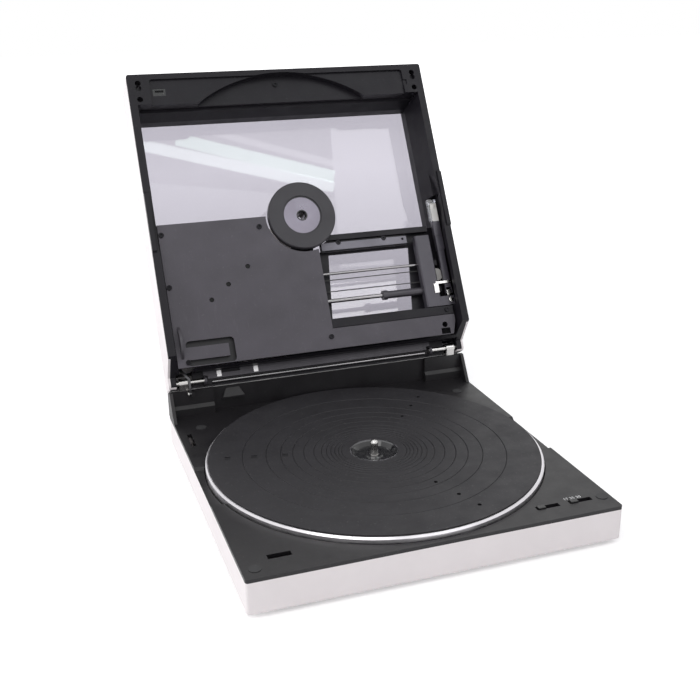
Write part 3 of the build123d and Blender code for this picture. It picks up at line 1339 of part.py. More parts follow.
def make_stay_fin():
    """Round-backed fin on the inner cover beside the stay link."""
    x1 = POCKET_X[0] - 3.2
    middle = POCKET_Y[0] + 1
    lens = Pos(x1 - 1.2, middle, COVER_Z + 12) * Rot(0, 90, 0) * Cylinder(20, 2.4)
    keep = block(x1 - 3, x1 + 1, middle - 22, middle + 23, COVER_Z - 12, COVER_Z)
    return lens & keep


def board_front_y():
    """Front face of the control board."""
    return FRAME_FRONT_Y + SHELL_WALL + 1.6 + SWITCH_REACH


def make_control_board():
    """Board behind the buttons, with one key switch for each."""
    y = board_front_y()
    solids = [block(-CONTROL_HALF, CONTROL_HALF, y, y + BOARD, BUTTON_Z - 8, BUTTON_Z + 8)]
    spots = list(BUTTON_X.values()) + [ROCKER_X - 8, ROCKER_X + 8]
    for x in spots:
        solids.append(block(x - 3, x + 3, y - SWITCH_REACH, y, BUTTON_Z - 3, BUTTON_Z + 3))
    return solids


def make_search_rocker():
    """Rocker key, with its pivot pins above and below."""
    key = make_button(ROCKER_X, ROCKER)
    rise = ROCKER[1] / 2
    return key + rocker_pin(ROCKER_PIN_R, rise + ROCKER_PIN)


def rocker_pin(radius, rise):
    """Upright cylinder on the rocker's pivot, in the wall behind the lid's front."""
    y = FRAME_FRONT_Y + ROCKER_PIN_INSET
    return disc(radius, BUTTON_Z - rise, BUTTON_Z + rise, ROCKER_X, y)


def make_button(x, size):
    """Key cap in the lid's front."""
    back = board_front_y() - SWITCH_REACH - BUTTON_TRAVEL - FIT
    cap = block(
        x - size[0] / 2, x + size[0] / 2, FRONT_Y - BUTTON_PROUD, back,
        BUTTON_Z - size[1] / 2, BUTTON_Z + size[1] / 2)
    return fillet(cap.edges().group_by(Axis.Y)[0], 0.5)


# Clamp

def make_clamp_ring():
    """Black clamp ring with its carrier plate."""
    top = CLAMP_Z + CLAMP_HEIGHT
    profile = turned([
        (CLAMP_RING_R, CLAMP_Z), (CLAMP_R - 0.8, CLAMP_Z), (CLAMP_R, CLAMP_Z + 0.8),
        (CLAMP_R, top - 1), (CLAMP_R - 1, top), (STEM_R + FACE_GAP, top),
        (STEM_R + FACE_GAP, top - CLAMP_PLATE), (CLAMP_DISC_R, top - CLAMP_PLATE),
        (CLAMP_DISC_R, CLAMP_DISC_Z), (CLAMP_RING_R, CLAMP_DISC_Z)])
    return profile


def make_clamp_disc():
    """Steel disc inside the clamp ring."""
    return ring(CLAMP_DISC_R, STEM_R + FACE_GAP, CLAMP_DISC_Z, CLAMP_DISC_Z + CLAMP_DISC)


def make_clamp_stem():
    """Hollow stem that guides the clamp and takes the spindle's tip."""
    top = HOLDER_Z + HOLDER + 0.1
    stem = turned([
        (STEM_MOUTH_R, STEM_Z), (STEM_R, STEM_Z), (STEM_R, CLAMP_DISC_Z + CLAMP_DISC + FACE_GAP),
        (STEM_FLANGE_R, CLAMP_DISC_Z + CLAMP_DISC + FACE_GAP),
        (STEM_FLANGE_R, CLAMP_Z + CLAMP_HEIGHT - CLAMP_PLATE - FACE_GAP),
        (STEM_R, CLAMP_Z + CLAMP_HEIGHT - CLAMP_PLATE - FACE_GAP), (STEM_R, top),
        (CLAMP_CAP_R, top), (CLAMP_CAP_R, top + CLAMP_CAP), (STEM_BORE_R, top + CLAMP_CAP),
        (STEM_BORE_R, STEM_Z + 4.5)])
    return stem


# Carriage and tonearm

def make_carriage():
    """Carriage moulding: long plate, arm block and the eyes for both rails."""
    x0, x1 = CARRIAGE_X
    z0, z1 = CARRIAGE_Z
    body = block(x0, x1, CARRIAGE_Y[0], CARRIAGE_Y[1], z0, z1)
    body = chamfer(body.edges().filter_by(Axis.Y).group_by(Axis.Z)[0], 1.2)
    relief = block(x0 + 3, x1 - 3, CARRIAGE_Y[0] + 3, RAIL_Y - 6, z0 + 3, z1 + 1)
    body = body - relief
    body = body - block(x0 - 1, x1 + 1, GUARD_BAR_Y[0] - 1, GUARD_BAR_Y[1] + 1.8,
                        GUARD_TOP - GUARD_BAR - FACE_GAP, z1 + 1)
    body = body + block(x1 - 1, BLOCK_RIGHT_X, BLOCK_Y[0], BLOCK_Y[1], BLOCK_Z[0], BLOCK_Z[1])
    body = body - rod(RAIL_R + 0.25, x0 - 1, x1 + 1, RAIL_Y, ROD_Z)
    body = body - rod(SLEEVE_R, x0 - 1, x1 + 1, ROD_Y, ROD_Z)
    body = body - block(x0 - 1, x1 + 1, ROD_Y - SLEEVE_R, ROD_Y + SLEEVE_R, ROD_Z, z1 + 1)
    return body - disc(YAW_R + RUNNING_FIT, BLOCK_Z[0] - 1, BLOCK_Z[1] + 1, ARM_X, YAW_Y)


def make_carriage_sleeve():
    """Long bearing sleeve on the main rod, flanged at its left end."""
    x1 = CARRIAGE_X[1]
    sleeve = rod(SLEEVE_R, SLEEVE_X, x1, ROD_Y, ROD_Z)
    flange = rod(SLEEVE_FLANGE_R, SLEEVE_X - SLEEVE_FLANGE, SLEEVE_X, ROD_Y, ROD_Z)
    bore = rod(ROD_R + RUNNING_FIT * 2, SLEEVE_X - 9, x1 + 1, ROD_Y, ROD_Z)
    return sleeve + flange - bore


def make_arm_terminals():
    """Bright lift strip and lead terminals below the carriage."""
    z1 = CARRIAGE_Z[0]
    y0 = ROD_Y - 6.3
    x1 = CARRIAGE_X[1]
    foot = block(x1 - 6, x1 - 1, y0 + 2, y0 + 12, z1 - 1.4, z1)
    strip = block(x1 - 3.5, ARM_X + 3.2, y0, y0 + 2.5, z1 - 1.4, z1 - 0.6)
    post = block(x1 - 3.5, x1 - 1, y0, y0 + 4, z1 - 1.4, z1)
    return fused([foot, strip, post])


def make_arm_yoke():
    """Yaw yoke: pin through the arm block, plate above it and the pivot boss."""
    z0 = BLOCK_Z[1] + FACE_GAP
    plate = block(
        ARM_X - ARM_HALF + 1, ARM_X + ARM_HALF - 1, LIFT_Y - 1.8, YAW_Y + 3, z0, z0 + 1.6)
    boss = block(
        ARM_X - ARM_HALF + 1, ARM_X + ARM_HALF - 1, LIFT_Y - 1.8, BLOCK_Y[0] - 0.6,
        ARM_Z - 2.2, z0 + 1)
    pin = disc(YAW_R, BLOCK_Z[0] - 0.6, z0 + 0.5, ARM_X, YAW_Y)
    head = disc(YAW_R + 1.1, BLOCK_Z[0] - 1.6, BLOCK_Z[0] - FACE_GAP, ARM_X, YAW_Y)
    pivot = rod(LIFT_R, ARM_X - ARM_HALF + 0.1, ARM_X + ARM_HALF - 0.1, LIFT_Y, ARM_Z)
    return fused([plate, boss, pin, head, pivot])


def make_tonearm():
    """Arm beam, forked at the pivot, with its collar and headshell."""
    low = ARM_Z - ARM_HEIGHT / 2
    high = ARM_Z + ARM_HEIGHT / 2
    beam = block(
        ARM_X - ARM_HALF, ARM_X + ARM_HALF, ARM_SHOULDER_Y, ARM_REAR_Y, low, high)
    beam = chamfer(beam.edges().filter_by(Axis.Y), 0.8)
    collar = block(
        ARM_X - ARM_HALF - 0.5, ARM_X + ARM_HALF + 0.5, ARM_COLLAR_Y, ARM_SHOULDER_Y,
        low - 0.4, high + 0.4)
    head = block(
        ARM_X - ARM_HALF - 0.9, ARM_X + ARM_HALF + 0.5, ARM_HEAD_Y, ARM_COLLAR_Y,
        low - 0.8, high + 0.4)
    head = chamfer(head.edges().filter_by(Axis.Y), 0.6)
    arm = beam + collar + head
    for side in (-1, 1):
        x = ARM_X + side * (ARM_HALF - 0.45)
        ear = block(x - 0.45, x + 0.45, ARM_REAR_Y - 1, LIFT_Y + 2, ARM_Z - 2, ARM_Z + 2)
        arm = arm + ear
    return arm - rod(LIFT_R + RUNNING_FIT, ARM_X - 6, ARM_X + 6, LIFT_Y, ARM_Z)


def make_cartridge():
    """Plug-in cartridge with its stylus below."""
    low = ARM_Z - ARM_HEIGHT / 2 - 0.4
    body = block(
        ARM_X - ARM_HALF, ARM_X + ARM_HALF, CARTRIDGE_FRONT_Y, ARM_HEAD_Y,
        low, ARM_Z + ARM_HEIGHT / 2)
    body = chamfer(body.edges().group_by(Axis.Y)[0], 1.0)
    tip = loft([
        Pos(ARM_X, STYLUS_Y + 2.5, low + 0.2) * Rectangle(2.6, 5.0),
        Pos(ARM_X, STYLUS_Y, low + 0.2 - STYLUS_REACH) * Rectangle(0.4, 0.4)])
    return body + tip


def make_stylus_guard():
    """Clear guard round the front and left of the cartridge."""
    low = ARM_Z - ARM_HEIGHT / 2 - 0.4
    x0 = ARM_X - ARM_HALF
    outer = block(
        x0 - 2.2, ARM_X + ARM_HALF, GUARD_FRONT_Y, ARM_HEAD_Y - 0.2, low, low + 4)
    inner = block(
        x0, ARM_X + ARM_HALF + 1, CARTRIDGE_FRONT_Y, ARM_HEAD_Y + 1, low - 1, low + 5)
    return outer - inner


# Placing and writing

def rest_depth_middle():
    """Middle of the open turntable from front to back."""
    dy = FRONT_Y - HINGE_Y
    dz = CLOSED_HEIGHT - HINGE_Z
    angle = radians(-LID_OPEN)
    rear = HINGE_Y + dy * cos(angle) - dz * sin(angle)
    return (FRONT_Y + rear) / 2


MIDDLE_Y = rest_depth_middle()


def on_base(shape):
    """Place a piece of the base."""
    return Pos(0, -MIDDLE_Y, 0) * shape


def on_lid(shape):
    """Open a piece of the lid about the pins and place it."""
    opened = Pos(0, HINGE_Y, HINGE_Z) * Rot(-LID_OPEN, 0, 0) * Pos(0, -HINGE_Y, -HINGE_Z)
    return Pos(0, -MIDDLE_Y, 0) * opened * shape


def solids_of(made):
    """All solids in a shape or in a list of shapes."""
    shapes = made if isinstance(made, list) else [made]
    return [solid for shape in shapes for solid in shape.solids()]


def save(name, made, place):
    """Write one node."""
    placed = [place(solid) for solid in solids_of(made)]
    whole = placed[0] if len(placed) == 1 else Compound(children=placed)
    export_step(whole, os.path.join("parts", name + ".step"))


BASE_NODES = {
    "cabinet": make_cabinet, "deck": make_deck, "feet": make_feet, "deck_pads": make_deck_pads,
    "base_screws": make_base_screws, "platter": make_platter, "mat": make_mat,
    "centre_ring": make_centre_ring, "hub_dish": make_hub_dish, "spindle": make_spindle,
    "rotor": make_rotor, "motor_board": make_motor_board, "motor_coils": make_motor_coils,
    "spindle_bearing": make_spindle_bearing, "main_board": make_main_board,
    "transformer": make_transformer, "rear_terminals": make_rear_terminals,
    "power_inlet": make_power_inlet, "slide_switches": make_slide_switches,
    "speed_knob": lambda: make_knob(SPEED_SLOT_X - KNOB_TRAVEL),
    "size_knob": lambda: make_knob(SIZE_SLOT_X - KNOB_TRAVEL),
    "hinge_brackets": make_hinge_brackets, "hinge_pins": make_hinge_pins,
    "torsion_bar": make_torsion_bar, "stay_link": make_stay_link}

LID_NODES = {
    "lid_shell": make_lid_shell, "lid_frame": make_lid_frame, "window": make_window,
    "inner_cover": make_inner_cover, "lid_screws": make_lid_screws,
    "sensor_lamps": make_sensor_lamps, "clamp_holder": make_clamp_holder,
    "carriage_frame": make_carriage_frame, "guard_bar": make_guard_bar,
    "guide_rod": make_guide_rod, "guide_rail": make_guide_rail, "drive_cord": make_drive_cord,
    "motor_pulley": lambda: make_pulley(PULLEY_X[0]),
    "idler_pulley": lambda: make_pulley(PULLEY_X[1]), "arm_motor": make_arm_motor,
    "lid_switch": make_lid_switch, "hinge_bar": make_hinge_bar, "hinge_clips": make_hinge_clips,
    "stay_fin": make_stay_fin, "control_board": make_control_board,
    "start_button": lambda: make_button(BUTTON_X["start_button"], BUTTON),
    "stop_button": lambda: make_button(BUTTON_X["stop_button"], BUTTON),
    "cue_button": lambda: make_button(BUTTON_X["cue_button"], BUTTON),
    "search_rocker": make_search_rocker,
    "clamp_ring": make_clamp_ring, "clamp_disc": make_clamp_disc, "clamp_stem": make_clamp_stem,
    "carriage": make_carriage, "carriage_sleeve": make_carriage_sleeve,
    "arm_terminals": make_arm_terminals, "arm_yoke": make_arm_yoke, "tonearm": make_tonearm,
    "cartridge": make_cartridge, "stylus_guard": make_stylus_guard}

os.makedirs("parts", exist_ok=True)
for node, make in BASE_NODES.items():
    save(node, make(), on_base)
for node, make in LID_NODES.items():
    save(node, make(), on_lid)
print("middle of depth", round(MIDDLE_Y, 3))
print("hinge axis at rest", round(HINGE_Y - MIDDLE_Y, 3), HINGE_Z)
print("stay link turn", round(degrees(atan2(STAY_FAR_Z - STAY_Z, STAY_FAR_Y - STAY_Y)
      - atan2(stay_geometry()[1] - STAY_Z, stay_geometry()[0] - STAY_Y)), 3))
print("pulley turns per millimetre", round(1 / (pulley_radius() * 2 * pi), 5))
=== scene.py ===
"""Looks of the open turntable: its finishes, the printed figures, the camera, lamps and floor."""

import logging
import math
from dataclasses import dataclass, replace
from enum import Enum

import bpy
from mathutils import Matrix, Vector

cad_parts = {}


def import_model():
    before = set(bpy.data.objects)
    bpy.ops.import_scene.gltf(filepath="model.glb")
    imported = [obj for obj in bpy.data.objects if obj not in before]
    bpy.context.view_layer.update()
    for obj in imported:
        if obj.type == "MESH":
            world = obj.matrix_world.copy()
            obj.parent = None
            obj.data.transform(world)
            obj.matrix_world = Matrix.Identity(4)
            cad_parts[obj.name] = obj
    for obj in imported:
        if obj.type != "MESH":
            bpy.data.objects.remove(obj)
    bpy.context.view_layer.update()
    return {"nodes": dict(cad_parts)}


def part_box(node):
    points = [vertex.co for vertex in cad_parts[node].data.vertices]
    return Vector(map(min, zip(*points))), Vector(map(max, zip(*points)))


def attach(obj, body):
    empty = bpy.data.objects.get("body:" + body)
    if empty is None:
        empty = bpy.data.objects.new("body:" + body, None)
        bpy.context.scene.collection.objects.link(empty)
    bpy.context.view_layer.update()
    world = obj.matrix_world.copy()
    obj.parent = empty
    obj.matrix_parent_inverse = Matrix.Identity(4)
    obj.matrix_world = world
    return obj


log = logging.getLogger("turntable")

Rgb = tuple[float, float, float]
Nodes = dict[str, bpy.types.Object]

MM = 0.001

CREASE_ANGLE = math.radians(28)
LID_INSIDE = (0.0, -0.8660, 0.5)
LID_REAR = (0.0, -0.5, -0.8660)

POLISH_SCALE = 60.0
COAT_ROUGHNESS = 0.08
BLOTCH_SCALE = 28.0
# Painted shade in recesses: its greatest share and its near-black colour.
RECESS_SHADE_SHARE = 0.9
RECESS_SHADE_COLOR = (0.005, 0.005, 0.006)
# Painted shade on faces turned one way: its near-black colour and how sharply it starts by the
# faces' turn.
SIDE_SHADE_COLOR = (0.012, 0.011, 0.013)
SIDE_SHADE_EDGE = (0.90, 0.96)
SCUFF_STRETCH = (1.0, 0.10, 0.10)
SCUFF_TURN = 0.5
SCUFF_SCALE = 620.0
SCUFF_PATCH_SCALE = 22.0
SCUFF_COLOR = (0.36, 0.35, 0.36)
DUST_SCALE = 520.0
DUST_GAIN = 2.4
DUST_COLOR = (0.42, 0.41, 0.40)
PLASTIC_IOR = 1.49
FILM_SCALE = 14.0
FILM_COLOR = (0.80, 0.79, 0.80)
WEAR_SCALE = 900.0
WEAR_SHARE = 0.35
WEAR_COLOR = (0.25, 0.25, 0.26)


class Grain(Enum):
    """Which way the fine structure of a surface runs."""

    EVEN = "even"
    RINGS = "rings"
    ALONG_X = "along_x"


class Surface:
    """One material that is being built from nodes."""

    def __init__(self, name: str) -> None:
        """Start an empty material.

        Args:
            name: Name of the material.
        """
        self.material = bpy.data.materials.new(name)
        self.material.use_nodes = True
        self.tree = self.material.node_tree
        self.tree.nodes.clear()
        self.output = self.tree.nodes.new("ShaderNodeOutputMaterial")

    def node(self, kind: str, **settings: object) -> bpy.types.Node:
        """Add a node.

        Args:
            kind: Blender's name of the node's type.
            settings: Values of its sockets and properties, by name.

        Returns:
            The new node.
        """
        made = self.tree.nodes.new(kind)
        for key, value in settings.items():
            if key in made.inputs:
                made.inputs[key].default_value = value
            else:
                setattr(made, key, value)
        return made

    def link(self, source: bpy.types.NodeSocket, target: bpy.types.NodeSocket) -> None:
        """Join two sockets."""
        self.tree.links.new(source, target)

    def finish(self, shader: bpy.types.NodeSocket) -> bpy.types.Material:
        """Close the material with its shader and return it."""
        self.link(shader, self.output.inputs["Surface"])
        return self.material

    def where(self) -> bpy.types.NodeSocket:
        """Place on the object, in metres."""
        return self.node("ShaderNodeTexCoord").outputs["Object"]

    def math(self, operation: str, first: bpy.types.NodeSocket,
             second: bpy.types.NodeSocket | float) -> bpy.types.NodeSocket:
        """Work out a value.

        Args:
            operation: Blender's name of the operation.
            first: First value.
            second: Second value, a socket or a number.

        Returns:
            The result's socket.
        """
        made = self.node("ShaderNodeMath", operation=operation)
        self.link(first, made.inputs[0])
        if isinstance(second, bpy.types.NodeSocket):
            self.link(second, made.inputs[1])
        else:
            made.inputs[1].default_value = second
        return made.outputs[0]

    def span(self, value: bpy.types.NodeSocket, low: float, high: float,
             source: tuple[float, float] = (0.0, 1.0)) -> bpy.types.NodeSocket:
        """Map a value to another range.

        Args:
            value: The value.
            low: Result at the start of the source range.
            high: Result at its end.
            source: Range of the value.

        Returns:
            The result's socket.
        """
        made = self.node("ShaderNodeMapRange", **{
            "From Min": source[0], "From Max": source[1], "To Min": low, "To Max": high})
        self.link(value, made.inputs["Value"])
        return made.outputs["Result"]

    def noise(self, place: bpy.types.NodeSocket, scale: float, detail: float = 3.0,
              ) -> bpy.types.NodeSocket:
        """Noise at a scale.

        Args:
            place: Where on the surface.
            scale: Blobs in a metre.
            detail: Octaves of detail.

        Returns:
            The noise value's socket.
        """
        made = self.node("ShaderNodeTexNoise", Scale=scale, Detail=detail, Roughness=0.55)
        self.link(place, made.inputs["Vector"])
        return made.outputs["Fac"]

    def stretched(self, place: bpy.types.NodeSocket, scale: Rgb, turn: float = 0.0,
                  ) -> bpy.types.NodeSocket:
        """A place stretched along the axes.

        Args:
            place: Where on the surface.
            scale: Factor along each axis.
            turn: Turn about the upright axis first, in radians.

        Returns:
            The stretched place's socket.
        """
        made = self.node("ShaderNodeMapping", Scale=scale, Rotation=(0, 0, turn))
        self.link(place, made.inputs["Vector"])
        return made.outputs["Vector"]

    def blend(self, share: bpy.types.NodeSocket, first: bpy.types.NodeSocket | Rgb,
              second: bpy.types.NodeSocket | Rgb) -> bpy.types.NodeSocket:
        """Mix two colours.

        Args:
            share: Share of the second colour.
            first: First colour, a socket or its numbers.
            second: Second colour, a socket or its numbers.

        Returns:
            The mixed colour's socket.
        """
        made = self.node("ShaderNodeMix", data_type="RGBA")
        self.link(share, made.inputs[0])
        for color, slot in ((first, made.inputs[6]), (second, made.inputs[7])):
            if isinstance(color, bpy.types.NodeSocket):
                self.link(color, slot)
            else:
                slot.default_value = (*[min(part, 1.0) for part in color], 1)
        return made.outputs[2]


@dataclass(frozen=True)
class Finish:
    """Finish of an opaque surface.

    Args:
        name: Name of the material.
        color: Linear red, green and blue of the surface.
        roughness: Mean roughness.
        metallic: 1 for bare metal, 0 for plastic and rubber.
        grain: Direction of the fine structure.
        grain_scale: Fine structures in a metre.
        grain_depth: Height of the fine structure, in metres.
        mottle: How much the colour varies from place to place.
        polish_spread: How much the roughness varies from place to place.
        dust: Share of pale dust that lies on the surface.
        scuffs: Share of pale fine scratches.
        coat: Weight of a clear coat.
        specular: Specular level of the surface.
        looks: Direction of the piece's outer face; recesses below it get painted shade, a darker
            colour by depth.
        shaded_side: Direction of the faces that get painted shade, a near-black colour on faces
            that lie in shade.
        recess_shade: Depths below the outer face at which the painted shade starts and at which
            it is darkest, in metres.
    """

    name: str
    color: Rgb
    roughness: float
    metallic: float = 0.0
    grain: Grain = Grain.EVEN
    grain_scale: float = 1400.0
    grain_depth: float = 0.00002
    mottle: float = 0.10
    polish_spread: float = 0.08
    dust: float = 0.0
    scuffs: float = 0.0
    coat: float = 0.0
    specular: float = 0.5
    looks: Rgb | None = None
    shaded_side: Rgb | None = None
    recess_shade: tuple[float, float] = (0.2 * MM, 0.6 * MM)

    def make(self, centre: Vector, face: float) -> bpy.types.Material:
        """Build the material.

        Args:
            centre: Middle of the rings that the fine structure follows.
            face: How far out the piece's outer face lies, in the direction it looks.

        Returns:
            The material.
        """
        surface = Surface(self.name)
        where = surface.where()
        shader = surface.node("ShaderNodeBsdfPrincipled", **{
            "Metallic": self.metallic, "Coat Weight": self.coat,
            "Coat Roughness": COAT_ROUGHNESS,
            "Specular IOR Level": self.specular})
        surface.link(self._colored(surface, where, face), shader.inputs["Base Color"])
        rough = surface.span(
            surface.noise(where, POLISH_SCALE), self.roughness - self.polish_spread,
            self.roughness + self.polish_spread, (0.25, 0.75))
        surface.link(rough, shader.inputs["Roughness"])
        fine = surface.noise(self._place(surface, where, centre), self.grain_scale, 2.0)
        bump = surface.node("ShaderNodeBump", Strength=1.0, Distance=self.grain_depth)
        surface.link(fine, bump.inputs["Height"])
        surface.link(bump.outputs["Normal"], shader.inputs["Normal"])
        return surface.finish(shader.outputs["BSDF"])

    def _colored(self, surface: Surface, where: bpy.types.NodeSocket, face: float,
                 ) -> bpy.types.NodeSocket:
        """Colour with its mottle, dust, scratches and painted shade in recesses.

        Args:
            surface: Material being built.
            where: Place on the object.
            face: How far out the piece's outer face lies.

        Returns:
            The colour's socket.
        """
        blotch = surface.span(surface.noise(where, BLOTCH_SCALE, 4.0), 0, 1, (0.3, 0.7))
        color = surface.blend(
            blotch, tuple(part * (1 - self.mottle) for part in self.color),
            tuple(part * (1 + self.mottle) for part in self.color))
        # Painted shade: recesses below the outer face darken with depth.
        if self.looks is not None:
            reach = surface.node("ShaderNodeVectorMath", operation="DOT_PRODUCT")
            surface.link(where, reach.inputs[0])
            reach.inputs[1].default_value = self.looks
            shallow, deep = self.recess_shade
            shade_share = surface.span(
                reach.outputs["Value"], RECESS_SHADE_SHARE, 0, (face - deep, face - shallow))
            color = surface.blend(shade_share, color, RECESS_SHADE_COLOR)
        # Painted shade: faces turned towards this direction are coloured near black.
        if self.shaded_side is not None:
            turned = surface.node("ShaderNodeVectorMath", operation="DOT_PRODUCT")
            surface.link(
                surface.node("ShaderNodeTexCoord").outputs["Normal"], turned.inputs[0])
            turned.inputs[1].default_value = self.shaded_side
            share = surface.span(turned.outputs["Value"], 0, 1, SIDE_SHADE_EDGE)
            color = surface.blend(share, color, SIDE_SHADE_COLOR)
        if self.scuffs:
            streaks = surface.noise(
                surface.stretched(where, SCUFF_STRETCH, SCUFF_TURN), SCUFF_SCALE, 4.0)
            patches = surface.span(
                surface.noise(where, SCUFF_PATCH_SCALE, 2.0), 0, 1, (0.50, 0.72))
            share = surface.math(
                "MULTIPLY", surface.span(streaks, 0, self.scuffs, (0.58, 0.74)), patches)
            color = surface.blend(share, color, SCUFF_COLOR)
        if self.dust:
            specks = surface.span(surface.noise(where, DUST_SCALE, 5.0), 0, 1, (0.62, 0.78))
            share = surface.math("MULTIPLY", specks, self.dust * DUST_GAIN)
            color = surface.blend(share, color, DUST_COLOR)
        return color

    def _place(self, surface: Surface, where: bpy.types.NodeSocket, centre: Vector,
               ) -> bpy.types.NodeSocket:
        """Coordinate that the fine structure follows.

        Args:
            surface: Material being built.
            where: Place on the object.
            centre: Middle of the rings.

        Returns:
            The coordinate's socket.
        """
        if self.grain is Grain.EVEN:
            return where
        if self.grain is Grain.ALONG_X:
            return surface.stretched(where, (0.02, 1.0, 1.0))
        moved = surface.node("ShaderNodeVectorMath", operation="SUBTRACT")
        surface.link(where, moved.inputs[0])
        moved.inputs[1].default_value = centre
        length = surface.node("ShaderNodeVectorMath", operation="LENGTH")
        surface.link(moved.outputs[0], length.inputs[0])
        combined = surface.node("ShaderNodeCombineXYZ")
        surface.link(length.outputs["Value"], combined.inputs["X"])
        return combined.outputs["Vector"]


@dataclass(frozen=True)
class PaneFinish:
    """Finish of a clear or smoked pane.

    Args:
        name: Name of the material.
        tint: Colour of what shows through one face.
        gloss: Mirror share beyond that of clear plastic.
        blur: Roughness of the mirror image.
        film: Share of fine dust on the pane, least and most.
    """

    name: str
    tint: Rgb
    gloss: float
    blur: float = 0.02
    film: tuple[float, float] = (0.005, 0.03)

    def make(self, centre: Vector, face: float) -> bpy.types.Material:
        """Build the material.

        Args:
            centre: Not used, as a pane has no rings.
            face: Not used, as a pane has no recesses.

        Returns:
            The material.
        """
        surface = Surface(self.name)
        through = surface.node("ShaderNodeBsdfTransparent", Color=(*self.tint, 1))
        mirror = surface.node(
            "ShaderNodeBsdfGlossy", Color=(1, 1, 1, 1), Roughness=self.blur)
        fresnel = surface.node("ShaderNodeFresnel", IOR=PLASTIC_IOR)
        glazed = surface.node("ShaderNodeMixShader")
        surface.link(surface.math("ADD", fresnel.outputs[0], self.gloss), glazed.inputs["Fac"])
        surface.link(through.outputs[0], glazed.inputs[1])
        surface.link(mirror.outputs[0], glazed.inputs[2])
        haze = surface.node("ShaderNodeBsdfDiffuse", Color=(*FILM_COLOR, 1))
        dusty = surface.node("ShaderNodeMixShader")
        film = surface.span(
            surface.noise(surface.where(), FILM_SCALE, 5.0), *self.film, (0.35, 0.75))
        surface.link(film, dusty.inputs["Fac"])
        surface.link(glazed.outputs[0], dusty.inputs[1])
        surface.link(haze.outputs[0], dusty.inputs[2])
        return surface.finish(dusty.outputs[0])


@dataclass(frozen=True)
class PrintFinish:
    """Finish of pale printed figures.

    Args:
        name: Name of the material.
        color: Linear red, green and blue of the paint.
    """

    name: str
    color: Rgb

    def make(self, centre: Vector, face: float) -> bpy.types.Material:
        """Build the material.

        Args:
            centre: Not used, as print has no rings.
            face: Not used, as print has no recesses.

        Returns:
            The material.
        """
        surface = Surface(self.name)
        worn = surface.span(
            surface.noise(surface.where(), WEAR_SCALE), 0, WEAR_SHARE, (0.45, 0.75))
        shader = surface.node("ShaderNodeBsdfPrincipled", Roughness=0.5)
        surface.link(
            surface.blend(worn, self.color, WEAR_COLOR), shader.inputs["Base Color"])
        return surface.finish(shader.outputs["BSDF"])


SILVER_CASE = Finish("silver_case", (0.80, 0.755, 0.765), 0.42, 0.15, mottle=0.025,
                     grain_scale=2600)
# The lid shell's rear face gets painted shade, near black, where it lies in shade.
SILVER_LID = replace(SILVER_CASE, name="silver_lid", shaded_side=LID_REAR)
BLACK_CASE = Finish("black_case", (0.0100, 0.0092, 0.0108), 0.42, grain_depth=0.00003, dust=0.030,
                    specular=0.42)
LID_BLACK = Finish("lid_black", (0.0115, 0.0105, 0.0140), 0.40, grain_depth=0.00003, dust=0.02,
                   specular=0.22)
# The graphite cover's trough gets painted shade that deepens from 1.2 mm to 2 mm below its face.
GRAPHITE = Finish("graphite_plate", (0.060, 0.055, 0.067), 0.40, 0.30, mottle=0.12, dust=0.04,
                  scuffs=0.10, looks=LID_INSIDE, recess_shade=(1.2 * MM, 2.0 * MM))
RUBBER = Finish("rubber_black", (0.022, 0.022, 0.024), 0.62, grain_scale=900, dust=0.06)
# The mat's grooves get painted shade below its top face.
MAT_RUBBER = Finish("mat_rubber", (0.022, 0.021, 0.024), 0.58, grain=Grain.RINGS, grain_scale=700,
                    mottle=0.12, dust=0.06, specular=0.36, looks=(0, 0, 1))
MACHINED = Finish("cast_platter", (0.74, 0.72, 0.75), 0.36, 1.0, Grain.RINGS, 2200, 0.000015)
CHROME = Finish("bright_ring", (0.80, 0.80, 0.82), 0.08, 1.0, Grain.RINGS, 900, 0.000004)
GLOSS_BLACK = Finish("gloss_black", (0.016, 0.016, 0.018), 0.16, mottle=0.05, coat=0.4)
CLAMP_BLACK = Finish("clamp_black", (0.040, 0.038, 0.044), 0.42, mottle=0.06, specular=0.35)
CLAMP_STEEL = Finish("clamp_steel", (0.180, 0.166, 0.200), 0.32, 1.0, Grain.RINGS, 2600, 0.000008)
STEEL = Finish("steel", (0.58, 0.57, 0.56), 0.22, 1.0, Grain.ALONG_X, 1800, 0.000008)
WHITE_STEEL = Finish("white_steel", (0.80, 0.79, 0.80), 0.34, 0.7, Grain.ALONG_X, 1800, 0.000006)
POLISHED = Finish("polished_rod", (0.30, 0.29, 0.30), 0.12, 1.0, Grain.ALONG_X, 1800, 0.000004,
                  polish_spread=0.03)
DARK_STEEL = Finish("dark_steel", (0.10, 0.10, 0.105), 0.32, 1.0)
# The screws' sockets get painted shade below their heads.
BLACK_SCREW = Finish("black_screw", (0.085, 0.080, 0.092), 0.24, 0.9, looks=LID_INSIDE,
                     recess_shade=(0.5 * MM, 0.9 * MM))
BRASS = Finish("brass", (0.66, 0.48, 0.20), 0.26, 1.0, Grain.RINGS, 1600, 0.000008)
GREY_BAR = Finish("grey_plastic", (0.15, 0.145, 0.17), 0.38, 0.3, mottle=0.16, dust=0.05,
                  scuffs=0.25)
SATIN_BAR = Finish("satin_bar", (0.060, 0.056, 0.066), 0.36, 0.3, mottle=0.08)
LIGHT_GREY = Finish("light_plastic", (0.66, 0.65, 0.63), 0.36, mottle=0.05)
BOARD_GREEN = Finish("circuit_board", (0.045, 0.15, 0.085), 0.34, mottle=0.18, coat=0.3)
MAGNET = Finish("magnet", (0.06, 0.06, 0.063), 0.55, 0.3)
COPPER = Finish("copper", (0.46, 0.19, 0.08), 0.30, 1.0, Grain.RINGS, 3000, 0.00002)
CORD = Finish("cord", (0.04, 0.04, 0.04), 0.75)
KNOB_BLACK = Finish("knob_black", (0.014, 0.014, 0.015), 0.30, mottle=0.04)
